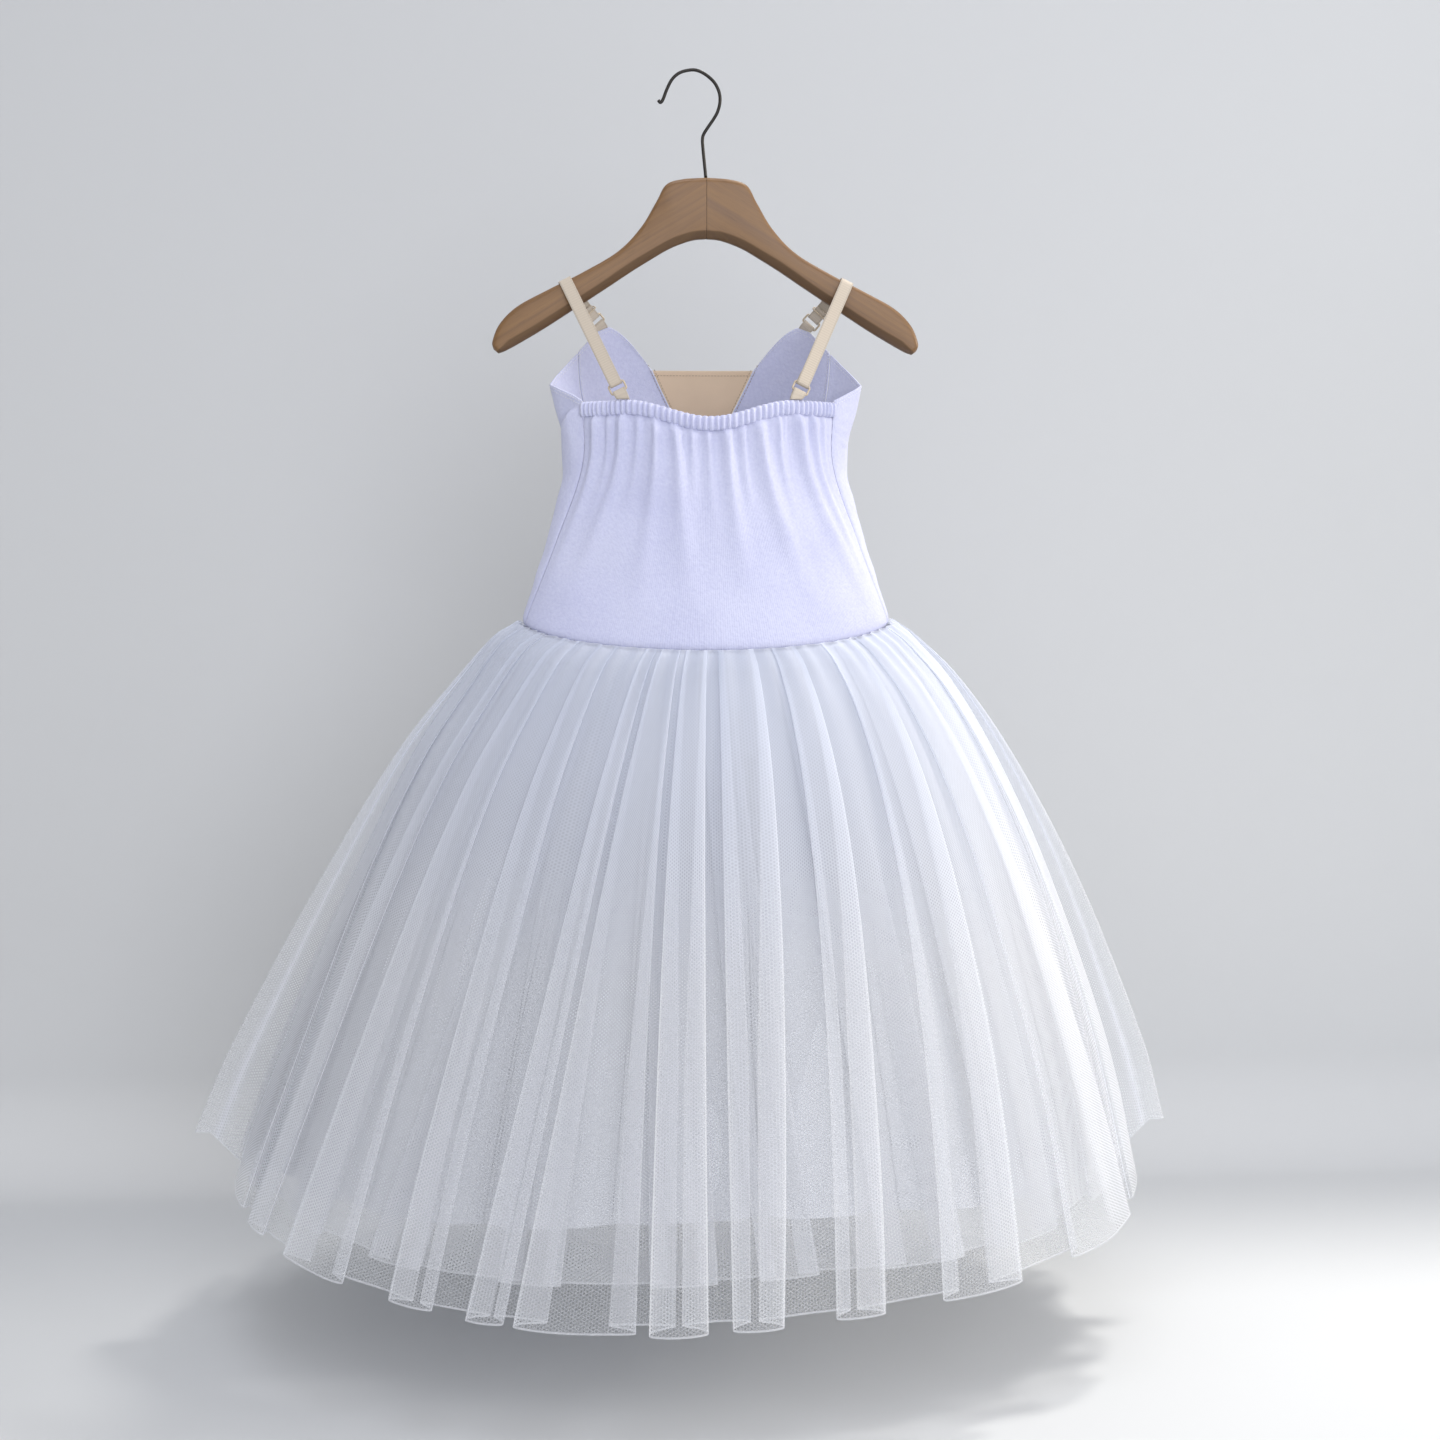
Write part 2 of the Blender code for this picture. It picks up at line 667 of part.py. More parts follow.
def build_skirt():
    for layer in LAYERS:
        size = dict(zip(LAYER_COLUMNS, layer))
        for word, start in (("back", 180), ("front", 0)):
            name = f"skirt_{size['name']}_{word}"
            place = layer_place(layer, start)
            add_wall(name, "tulle", size["across"], len(BELL) - 1, place, TULLE)


# Brief


def brief_place(word):
    """Half of a bowl under the waist seam, cut out for the legs and closed at its foot."""
    start = 180 if word == "back" else 0
    top_half = body_point(0, WAIST_Z, -BRIEF_INSET).x - CENTRE_X
    deep_half = abs(body_point(start + 90, WAIST_Z, -BRIEF_INSET).y)

    def place(u, v):
        seam = math.degrees(SKIRT_SEAM / deep_half)
        angle = start + blend(seam, 180 - seam, u)
        top = body_point(angle, waist_z(angle) - GAP - BRIEF_INSET / 2, -BRIEF_INSET)
        x = top.x - CENTRE_X
        side = math.copysign(1, x)
        leg = max(0.0, (abs(x) - 2 * BRIEF_FOOT_HALF) / (top_half - 2 * BRIEF_FOOT_HALF))
        foot_x = side * blend(min(BRIEF_FOOT_HALF, abs(x) / 2), top_half, leg)
        foot_z = blend(BRIEF_FOOT_Z, WAIST_Z - BRIEF_SIDE_HEIGHT, leg ** BRIEF_LEG[word])
        drop = 1 - v
        at_x = blend(x, foot_x, drop**1.4)
        at_z = blend(top.z, foot_z, drop)
        sink = max(0.0, (top.z - at_z) / (top.z - BRIEF_FOOT_Z))
        bowl = math.sqrt(max(0.0, 1 - sink**2.4))
        round_it = math.sqrt(max(0.0, 1 - min(1.0, abs(at_x) / top_half) ** 2))
        y = SKIRT_SEAM + (deep_half - SKIRT_SEAM) * bowl * round_it
        return Vector((CENTRE_X + at_x, math.copysign(y, math.sin(math.radians(angle))), at_z))

    return place


def build_brief():
    for word in ("back", "front"):
        add_wall(f"brief_{word}", "jersey", 18, 6, brief_place(word), CLOTH)


clear_scene()
COLLECTION = new_collection()
build_hook()
build_arms()
build_bodice()
build_strap("left", -1)
build_strap("right", 1)
build_brief()
build_skirt()
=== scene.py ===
"""A child's ballet dress with a long tulle skirt, hung from a wooden hanger.

Metres, +Z up. The origin is the inside of the hook's crown. The dress's back faces -Y, and
angles run round it from its right side (+X) through the front (+Y), the left side and the back.
"""

import math
import random

import bmesh
import bpy
from bpy.props import FloatProperty, FloatVectorProperty, IntProperty, PointerProperty
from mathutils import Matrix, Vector, noise


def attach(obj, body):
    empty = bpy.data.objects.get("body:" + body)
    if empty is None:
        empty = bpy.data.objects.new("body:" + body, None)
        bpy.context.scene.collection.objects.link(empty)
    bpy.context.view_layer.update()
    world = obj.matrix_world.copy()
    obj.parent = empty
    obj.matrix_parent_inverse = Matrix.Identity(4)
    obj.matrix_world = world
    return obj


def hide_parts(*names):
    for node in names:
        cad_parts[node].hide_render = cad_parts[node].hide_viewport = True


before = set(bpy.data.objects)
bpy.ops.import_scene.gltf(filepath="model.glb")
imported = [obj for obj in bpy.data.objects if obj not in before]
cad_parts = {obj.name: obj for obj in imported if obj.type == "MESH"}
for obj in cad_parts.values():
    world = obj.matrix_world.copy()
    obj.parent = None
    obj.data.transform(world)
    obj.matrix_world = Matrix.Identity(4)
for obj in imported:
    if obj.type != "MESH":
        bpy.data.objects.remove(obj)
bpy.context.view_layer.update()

bl_info = {
    "name": "Ballet dress on a hanger",
    "version": (1, 0, 0),
    "blender": (4, 5, 0),
    "location": "3D View > Sidebar > Ballet Dress",
    "description": "Builds a child's long tulle ballet dress on its wooden hanger",
    "category": "Object",
}

# Shared sizes
GAP = 0.0003
CENTRE_X = 0.013  # the middle of hanger and dress, beside the hook's crown
SEAM_TURN = 0.13  # half of a seam's gap, in degrees round the body

# Hanger and hook
HOOK = (  # the wire's middle, (across, up), from the curled tip over the crown to the wood
    (-0.0249, -0.0222), (-0.0232, -0.0240), (-0.0212, -0.0218), (-0.0181, -0.0139),
    (-0.0138, -0.0059), (-0.0079, -0.0009), (0.0000, 0.0013), (0.0063, 0.0010),
    (0.0130, -0.0023), (0.0195, -0.0081), (0.0232, -0.0153), (0.0240, -0.0226),
    (0.0224, -0.0298), (0.0195, -0.0355), (0.0145, -0.0428), (0.0109, -0.0486),
    (0.0101, -0.0529), (0.0104, -0.0587), (0.0115, -0.0700), (0.0127, -0.0821),
)
WOOD_HALF_DEPTH = 0.0068
WOOD_ROUND = 0.0024
WOOD_CHAMFER = 0.0058
WOOD_SLOPE = math.radians(31)  # each arm's grain runs straight along it
WOOD_JOINT = 0.00015  # half of the glued joint's gap
ARM_UPPER = (  # the arm's upper edge, (out, z), from the middle outwards
    (0.0000, -0.0824), (0.0190, -0.0838), (0.0320, -0.0882), (0.0400, -0.1018),
    (0.0520, -0.1215), (0.0700, -0.1402), (0.0969, -0.1562), (0.1254, -0.1705),
    (0.1500, -0.1838), (0.1640, -0.1975), (0.1698, -0.2110), (0.1692, -0.2172),
)
ARM_LOWER = (
    (0.0000, -0.1301), (0.0100, -0.1310), (0.0205, -0.1342), (0.0310, -0.1388),
    (0.0440, -0.1464), (0.0590, -0.1556), (0.0779, -0.1681), (0.1040, -0.1850),
    (0.1290, -0.2010), (0.1480, -0.2122), (0.1590, -0.2182), (0.1650, -0.2206),
)

# The bodice's cross-sections: z, half width, back depth, front depth, pinch of the sides
BODY = (
    (-0.200, 0.1280, 0.046, 0.040, 1.25),
    (-0.245, 0.1255, 0.048, 0.044, 1.25),
    (-0.305, 0.1135, 0.047, 0.049, 1.12),
    (-0.369, 0.1286, 0.051, 0.050, 1.04),
    (-0.434, 0.1490, 0.060, 0.058, 1.00),
    (-0.480, 0.1620, 0.066, 0.064, 1.00),
)
BACK_SEAM_TOP = -35.0
BACK_SEAM_FOOT = -10.0
PRINCESS_SEAM = 36.0
CUP_PEAK = 50.0
CUP_CORNER = 71.0
SIDE_TOP_Z = -0.245
SEAM_TOP_Z = -0.2575
CUP_PEAK_Z = -0.197
CUP_SEAT_Z = -0.200
CUP_SEAT_SLOPE = 0.40
INSERT_TOP_Z = -0.232
INSERT_POINT_Z = -0.322
WAIST_Z = -0.434
WAIST_DIP_BACK = 0.020
WAIST_DIP_FRONT = 0.014
PANEL_ROWS = 8
BACK_SIZE = (0.26, 0.18)  # a panel's width and length as it hangs
SIDE_SIZE = (0.10, 0.18)
FRONT_SIZE = (0.09, 0.22)
SIDE_FOLD_RISE = 0.0062
SIDE_FOLD_SINK = 0.0034
PUCKER_Z = -0.284
PUCKER_PITCH = 0.0085
PUCKER_HEIGHT = 0.0013
LINE_STEPS = 60
THREAD_LIFT = 0.00012
SEAM_SINK = 0.0011  # how deep the cloth rolls in at a seam, and from how far away
SEAM_ROLL = 0.0045
FOOT_SINK = 0.0018
FOOT_ROLL = 0.006

# Casing and gathers
CASING_HEIGHT = 0.0124
CASING_HALF_DEPTH = 0.0021
CASING_MIDDLE_Z = -0.2700
CASING_RISE = 0.0128
STRAP_BACK_X = 0.068
FINE_GATHERS = 46
FINE_HEIGHT = 0.0016
FINE_REACH = 0.34  # as a share of the back's height
GATHER_FOLDS = (  # place across at the casing and at the foot, reach down, height, half width
    (0.080, 0.045, 0.90, 0.0048, 0.022),
    (0.140, 0.110, 0.50, 0.0026, 0.012),
    (0.196, 0.160, 0.90, 0.0046, 0.018),
    (0.255, 0.240, 0.45, 0.0028, 0.011),
    (0.316, 0.350, 0.90, 0.0044, 0.016),
    (0.381, 0.480, 0.90, 0.0042, 0.018),
    (0.440, 0.465, 0.45, 0.0024, 0.011),
    (0.492, 0.530, 0.50, 0.0026, 0.012),
    (0.552, 0.590, 0.80, 0.0042, 0.016),
    (0.605, 0.630, 0.45, 0.0026, 0.011),
    (0.661, 0.740, 0.95, 0.0042, 0.018),
    (0.730, 0.780, 0.50, 0.0022, 0.012),
    (0.811, 0.920, 1.15, 0.0044, 0.021),
    (0.880, 0.965, 1.05, 0.0032, 0.015),
    (0.935, 0.985, 0.55, 0.0018, 0.011),
)

# Straps and fittings
STRAP_OVER_X = 0.112
BACK_SEAT_Z = -0.256
STRAP_SLOPE = math.radians(26.6)
STRAP_OVER = (
    (-0.0078, -0.0020), (-0.0064, -0.0003), (-0.0040, 0.0006),
    (0.0040, 0.0006), (0.0064, -0.0003), (0.0078, -0.0020),
)
BACK_TAB_RISE = 0.0066
FRONT_TAB_RISE = 0.0044
TAB_HALF_GAP = 0.0008
RING_HALF_WIDTH = 0.0064
RING_HALF_HEIGHT = 0.0038
RING_CORNER = 0.0016
LOOP_RADIUS = 0.0017
SLIDER_HALF_WIDTH = 0.0064
SLIDER_HALF_DEPTH = 0.0034
SLIDER_RISE = 0.0100
SLIDER_WIRE = 0.0006
BAND_SPACING = 0.004  # between the sections of a band

# Skirt
FOLD_EDGE = (  # from under a fold to its top: shares of the tuck, the width and the lift
    (1.0, 0.0, -0.05), (0.35, 0.0, 0.32), (0.0, 0.0, 0.66), (0.0, 0.07, 0.93),
)
FOLD_KNOTS = 11  # two edges, the middle and two between it and the next fold
FOLD_EDGE_KNOTS = (2, 6)  # the outermost of each edge
WAIST_LIFT = 0.0012
WAIST_PUFF = 0.0024
WAIST_GATHER = 0.0018
GATHER_REACH = 0.09  # as a share of the drop
SLOW_WAVE = 0.005
HEM_SHIFT = -0.018
HEM_WIDTH = 0.386
HEM_DEPTH = 0.291
HEM_SIDE_Z = -0.850
HEM_MIDDLE_Z = -0.908
BELL = (  # drop, spread on the right and on the left
    (0.00, 0.000, 0.000), (0.03, 0.095, 0.090), (0.10, 0.240, 0.195), (0.24, 0.425, 0.372),
    (0.46, 0.640, 0.577), (0.74, 0.850, 0.802), (1.00, 1.000, 1.000),
)
EVEN_DROP = 0.46
SLIT_X = 0.038  # the inner layer parts in a narrow slit on the back
SLIT_TOP_Z = -0.529
SLIT_FOOT_Z = -0.580
SLIT_HALF = 0.0034
SIDE_FLAP = 0.034  # how far a flat fold of the outer layer stands out on each side, at the hem
SIDE_HEM_FALL = 0.036  # how far the hem falls from that fold's tip to its foot
LAYER_COLUMNS = ("top", "inset", "hem_inset", "side_z", "middle_z", "back_z")
LAYERS = {
    "outer": (0.0016, 0.0001, 0.0001, -0.850, -0.908, -0.918),
    "middle": (-0.0010, 0.0015, 0.0400, -0.866, -0.894, -0.902),
    "inner": (-0.0018, 0.0029, 0.0500, -0.864, -0.862, -0.862),
}
# The outer layer's folds on the back: its two edges at the waist and at the hem in degrees,
# the share of its width turned under each edge, and how far it stands out at the hem
BACK_FOLDS = (
    (180.2, 181.4, 180.0, 180.8, 0.20, 0.044),
    (183.5, 197.0, 184.0, 201.0, 0.14, 0.010),
    (209.0, 213.0, 206.5, 211.5, 0.40, 0.010),
    (221.5, 228.1, 218.0, 228.2, 0.30, 0.013),
    (236.2, 242.1, 234.6, 240.0, 0.42, 0.012),
    (251.0, 254.1, 244.3, 248.4, 0.46, 0.017),
    (255.6, 260.9, 249.6, 262.3, 0.24, 0.019),
    (262.6, 268.5, 263.7, 269.5, 0.44, 0.024),
    (271.6, 281.9, 272.0, 277.1, 0.42, 0.021),
    (287.4, 294.6, 282.8, 288.0, 0.42, 0.018),
    (303.2, 313.9, 295.0, 305.3, 0.30, 0.016),
    (318.0, 326.4, 314.5, 330.7, 0.20, 0.014),
    (338.5, 350.0, 336.5, 348.5, 0.18, 0.012),
    (356.6, 357.8, 356.8, 357.8, 0.20, 0.044),
)

# Brief
BRIEF_INSET = 0.0046
BRIEF_FOOT_Z = -0.540
BRIEF_FOOT_HALF = 0.024
BRIEF_SIDE_HEIGHT = 0.020
BRIEF_LEG = {"back": 0.62, "front": 0.95}

# Camera, in the photograph's place
CAMERA_AIM = Vector((0.024, 0.0, -0.514))
CAMERA_DISTANCE = 2.0
CAMERA_TURN = math.radians(4.5)
CAMERA_PITCH = math.radians(5.8)
CAMERA_LENS = 61.7


def hex_colour(text):
    """An sRGB hex colour as a linear one."""
    parts = [int(text[i:i + 2], 16) / 255 for i in (1, 3, 5)]
    return (*[p / 12.92 if p <= 0.04045 else ((p + 0.055) / 1.055) ** 2.4 for p in parts], 1.0)


def colour_property(name, description, text):
    return FloatVectorProperty(
        name=name, description=description, subtype="COLOR", size=4, min=0, max=1,
        default=hex_colour(text),
    )


def length_property(name, description, default):
    return FloatProperty(
        name=name, description=description, default=default, min=0, unit="LENGTH", precision=4,
    )


def share_property(name, description, default):
    return FloatProperty(
        name=name, description=description, default=default, min=0, max=1, subtype="FACTOR",
    )


class DressBodiceSettings(bpy.types.PropertyGroup):
    cloth: length_property("Cloth", "Thickness of the jersey with its turned edges", 0.0012)
    ribs: IntProperty(name="Casing ribs", description="Gathers along the casing", default=48, min=1)
    rib_height: length_property("Rib height", "How far a rib of the casing stands out", 0.0019)
    stitch: length_property("Stitch", "Length of one stitch", 0.0026)
    jersey: colour_property("Jersey", "Colour of the jersey", "#D8DBF5")
    # the darker jersey colour: painted shade between the nap's tips, and a slow random drift in
    # tone
    jersey_tone_and_nap_shade: colour_property("Jersey shade", "Colour between the nap's tips", "#CCCFED")
    insert: colour_property("Insert", "Colour of the insert", "#DFC6AA")
    thread: colour_property("Thread", "Colour of the white thread", "#E9EAF6")
    insert_thread: colour_property("Insert thread", "Colour of the insert's thread", "#A08A72")


class DressStrapSettings(bpy.types.PropertyGroup):
    width: length_property("Width", "Width of the strap", 0.0103)
    thick: length_property("Thickness", "Thickness of the strap", 0.0010)
    wire: length_property("Ring wire", "Radius of the rings' wire", 0.0008)
    elastic: colour_property("Elastic", "Colour of the strap", "#CBBFAF")
    coating: colour_property("Coating", "Colour of the coated wire", "#CDBDA4")


class DressSkirtSettings(bpy.types.PropertyGroup):
    net_cell: length_property("Net cell", "Distance between the net's holes", 0.0027)
    outer_cover: share_property("Outer cover", "Share that a ply of outer net hides", 0.22)
    middle_cover: share_property("Middle cover", "Share that a ply of middle net hides", 0.30)
    inner_cover: share_property("Inner cover", "Share that a ply of inner net hides", 1.0)
    tulle: colour_property("Tulle", "Colour of the net at the hem", "#F6F8FD")
    tulle_deep: colour_property("Deep tulle", "Colour of the net at the waist", "#EDF2FF")


class DressHangerSettings(bpy.types.PropertyGroup):
    wire: length_property("Wire", "Radius of the hook's wire", 0.0013)
    wood_dark: colour_property("Dark grain", "Colour of the wood's dark grain", "#6F4E2E")
    wood_light: colour_property("Light grain", "Colour of the wood's light grain", "#8E6A40")
    steel: colour_property("Steel", "Colour of the hook", "#3A3836")


class DressStageSettings(bpy.types.PropertyGroup):
    floor_gap: length_property("Floor gap", "From the lowest hem down to the floor", 0.085)
    paper: colour_property("Paper", "Colour of the backdrop", "#D8DADC")


# Reading tables and making meshes


def blend(a, b, share):
    return a + (b - a) * share


def smooth_row(table, key):
    """The table's row at a key between its own, along a smooth curve. Keys are the first column."""
    rows = table if table[-1][0] > table[0][0] else table[::-1]
    key = min(max(key, rows[0][0]), rows[-1][0])
    i = max(n for n in range(len(rows) - 1) if rows[n][0] <= key)

    def slope(n, column):
        low, high = rows[max(n - 1, 0)], rows[min(n + 1, len(rows) - 1)]
        return (high[column] - low[column]) / (high[0] - low[0])

    span = rows[i + 1][0] - rows[i][0]
    t = (key - rows[i][0]) / span
    found = [key]
    for column in range(1, len(rows[0])):
        start, end = rows[i][column], rows[i + 1][column]
        found.append(
            (2 * t**3 - 3 * t**2 + 1) * start
            + (t**3 - 2 * t**2 + t) * span * slope(i, column)
            + (3 * t**2 - 2 * t**3) * end
            + (t**3 - t**2) * span * slope(i + 1, column)
        )
    return found


def smooth_path(points, count):
    """Evenly numbered points on a smooth curve through the given ones, ends included."""
    table = [(i, *p) for i, p in enumerate(points)]
    last = len(points) - 1
    return [Vector(smooth_row(table, last * n / count)[1:]) for n in range(count + 1)]


def fine_band(points, acrosses, spacing):
    """Places on a smooth curve through the points, at about one spacing, with the direction
    across at each of them, and the curve's length."""
    keys = [0.0]
    for one, other in zip(points, points[1:]):
        keys.append(keys[-1] + (other - one).length)
    table = [(key, *p, *a) for key, p, a in zip(keys, points, acrosses)]
    found = []
    for start, end in zip(keys, keys[1:]):
        steps = max(2, math.ceil((end - start) / spacing))
        found += [start + (end - start) * n / steps for n in range(steps)]
    rows = [smooth_row(table, key)[1:] for key in [*found, keys[-1]]]
    sides = [Vector(row[3:]).normalized() for row in rows]
    return [Vector(row[:3]) for row in rows], sides, keys[-1]


def grid_mesh(name, points, flat, marks=None):
    """A grid of cloth through rows of points, with their places on the flat cut in metres as UV.

    With one more flat place than points in each row, the grid closes round. marks gives each
    point's "crease": 1 along a fold's edge, below 0 where the cloth parts.
    """
    mesh = bmesh.new()
    crease = mesh.verts.layers.float.new("crease")
    rows = [[mesh.verts.new(p) for p in row] for row in points]
    for row, values in zip(rows, marks or ()):
        for vertex, value in zip(row, values):
            vertex[crease] = value
    uv = mesh.loops.layers.uv.new("cut")
    for j in range(len(rows) - 1):
        for i in range(len(flat[j]) - 1):
            k = (i + 1) % len(rows[j])
            face = mesh.faces.new((rows[j][i], rows[j][k], rows[j + 1][k], rows[j + 1][i]))
            spots = (flat[j][i], flat[j][i + 1], flat[j + 1][i + 1], flat[j + 1][i])
            for loop, spot in zip(face.loops, spots):
                loop[uv].uv = spot
    return to_data(mesh, name)


def sheet_mesh(name, across, down, place, cut):
    """A grid of cloth moved to place(u, v), from a flat cut of a width and a length."""
    shares = [[(i / across, j / down) for i in range(across + 1)] for j in range(down + 1)]
    points = [[place(u, v) for u, v in row] for row in shares]
    return grid_mesh(name, points, [[(u * cut[0], v * cut[1]) for u, v in row] for row in shares])


def to_data(mesh, name):
    data = bpy.data.meshes.new(name)
    mesh.to_mesh(data)
    mesh.free()
    data.shade_smooth()
    return data


def add_piece(name, data, material, slot, nodes=()):
    """Links a piece with its material and hides the parts it stands for; its slot is not used."""
    piece = bpy.data.objects.new(name, data)
    bpy.context.scene.collection.objects.link(piece)
    if material:
        data.materials.clear()
        data.materials.append(material)
    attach(piece, "root")
    if nodes:
        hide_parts(*nodes)
    return piece


def thicken(piece, thickness, offset=-1.0, edge=0.0):
    wall = piece.modifiers.new("thickness", "SOLIDIFY")
    wall.thickness = thickness
    wall.offset = offset
    wall.use_even_offset = False
    if edge:
        bevel = piece.modifiers.new("soft edge", "BEVEL")
        bevel.width = edge
        bevel.segments = 2
        bevel.limit_method = "ANGLE"
        bevel.angle_limit = math.radians(50)


def wire_mesh(name, points, radius, closed=False, sides=4):
    """A round wire along points as a plain mesh."""
    curve = bpy.data.curves.new(name, "CURVE")
    curve.dimensions = "3D"
    curve.bevel_depth = radius
    curve.bevel_resolution = sides
    curve.use_fill_caps = not closed
    spline = curve.splines.new("POLY")
    spline.points.add(len(points) - 1)
    for knot, point in zip(spline.points, points):
        knot.co = (*point, 1.0)
    spline.use_cyclic_u = closed
    return evaluated_mesh(name, curve)


def evaluated_mesh(name, data, tree=None, values=None):
    """The plain mesh that a curve, or a mesh under a node tree with its values, comes out as."""
    holder = bpy.data.objects.new(f"{name}_holder", data)
    bpy.context.scene.collection.objects.link(holder)
    if tree:
        modifier = holder.modifiers.new("build", "NODES")
        modifier.node_group = tree
        sockets = {s.name: s.identifier for s in tree.interface.items_tree if s.in_out == "INPUT"}
        for key, value in values.items():
            modifier[sockets[key]] = value
    graph = bpy.context.evaluated_depsgraph_get()
    mesh = bpy.data.meshes.new_from_object(holder.evaluated_get(graph), depsgraph=graph)
    mesh.name = name
    bpy.data.objects.remove(holder)
    welded = bmesh.new()
    welded.from_mesh(mesh)
    bmesh.ops.remove_doubles(welded, verts=welded.verts, dist=1e-6)
    welded.to_mesh(mesh)
    welded.free()
    mesh.shade_smooth()
    return mesh


# Materials


def set_inputs(tree, node, inputs):
    """Gives each input its value, or links it to a socket or to a node's first output."""
    for name, value in inputs.items():
        if isinstance(value, bpy.types.Node):
            value = value.outputs[0]
        if isinstance(value, bpy.types.NodeSocket):
            tree.links.new(value, node.inputs[name])
        else:
            node.inputs[name].default_value = value


def add_node(tree, kind, inputs=None, **settings):
    """Adds a node with its settings and inputs."""
    node = tree.nodes.new(kind)
    for name, value in settings.items():
        setattr(node, name, value)
    set_inputs(tree, node, inputs or {})
    return node


def wave_scale(pitch):
    """The wave texture's scale for lines at a pitch in metres."""
    return math.tau / 20 / pitch


def new_material(name, **shader_values):
    """A material with its Principled shader's constant values set on the shader's own sockets."""
    material = bpy.data.materials.new(name)
    material.use_nodes = True
    tree = material.node_tree
    shader = tree.nodes["Principled BSDF"]
    for key, value in shader_values.items():
        shader.inputs[key.replace("_", " ")].default_value = value
    return material, tree, shader


def brushed_jersey(name, settings):
    """Brushed nylon jersey: knitted, then raised to a short nap, so it is matt and soft-edged.

    The knit's wales are 0.5 mm apart in the real cloth and are drawn 1.6 mm apart to show.
    """
    material, tree, shader = new_material(
        name, Roughness=0.85, Sheen_Weight=0.3, Sheen_Roughness=0.45, IOR=1.53,
    )
    shader.inputs["Specular IOR Level"].default_value = 0.25
    place = add_node(tree, "ShaderNodeTexCoord").outputs["Object"]
    nap = add_node(tree, "ShaderNodeTexNoise", {"Vector": place, "Scale": 420.0, "Detail": 4.0})
    drift = add_node(tree, "ShaderNodeTexNoise", {"Vector": place, "Scale": 14.0, "Detail": 2.0})
    # painted shade: the nap's low spots between its tips take the darker colour; the slow drift
    # varies the tone at random
    nap_shade_and_drift = add_node(
        tree, "ShaderNodeMath", {0: nap.outputs["Fac"], 1: drift.outputs["Fac"]}, operation="ADD",
    )
    share = add_node(
        tree, "ShaderNodeMapRange", {"Value": nap_shade_and_drift, "From Min": 0.75, "From Max": 1.25},
    )
    colour = add_node(
        tree, "ShaderNodeMix",
        {0: share, 6: settings.jersey_tone_and_nap_shade, 7: settings.jersey}, data_type="RGBA",
    )
    set_inputs(tree, shader, {"Base Color": colour.outputs[2]})
    cut = add_node(tree, "ShaderNodeUVMap", uv_map="cut").outputs[0]
    wales = add_node(
        tree, "ShaderNodeTexWave",
        {"Vector": cut, "Scale": wave_scale(0.0016), "Distortion": 0.8, "Detail": 1.0},
        bands_direction="X",
    )
    height = add_node(
        tree, "ShaderNodeMath",
        {0: wales.outputs["Fac"], 1: 0.2, 2: nap.outputs["Fac"]}, operation="MULTIPLY_ADD",
    )
    bump = add_node(
        tree, "ShaderNodeBump", {"Height": height, "Strength": 0.55, "Distance": 0.0006},
    )
    set_inputs(tree, shader, {"Normal": bump})
    return material


def nude_lining(settings):
    """Nude stretch tricot: fine filament cloth under tension, smooth with a faint silky sheen.

    Its ribs are 0.3 mm apart in the real cloth and are drawn 1.1 mm apart to show.
    """
    material, tree, shader = new_material(
        "nude_stretch_tricot", Roughness=0.48, Sheen_Weight=0.2, Sheen_Roughness=0.3, IOR=1.53,
    )
    cut = add_node(tree, "ShaderNodeUVMap", uv_map="cut").outputs[0]
    ribs = add_node(
        tree, "ShaderNodeTexWave",
        {"Vector": cut, "Scale": wave_scale(0.0011), "Distortion": 0.3}, bands_direction="X",
    )
    place = add_node(tree, "ShaderNodeTexCoord").outputs["Object"]
    drift = add_node(tree, "ShaderNodeTexNoise", {"Vector": place, "Scale": 30.0, "Detail": 3.0})
    mixed = add_node(
        tree, "ShaderNodeMath",
        {0: ribs.outputs["Fac"], 1: 0.3, 2: drift.outputs["Fac"]}, operation="MULTIPLY_ADD",
    )
    shade = add_node(
        tree, "ShaderNodeMapRange",
        {"Value": mixed, "From Min": 0.3, "From Max": 1.0,
         "To Min": 0.93, "To Max": 1.05},
    )
    colour = add_node(
        tree, "ShaderNodeVectorMath", {0: settings.insert[:3], "Scale": shade}, operation="SCALE",
    )
    set_inputs(tree, shader, {"Base Color": colour})
    bump = add_node(
        tree, "ShaderNodeBump",
        {"Height": ribs.outputs["Fac"], "Strength": 0.2, "Distance": 0.0002},
    )
    set_inputs(tree, shader, {"Normal": bump})
    return material


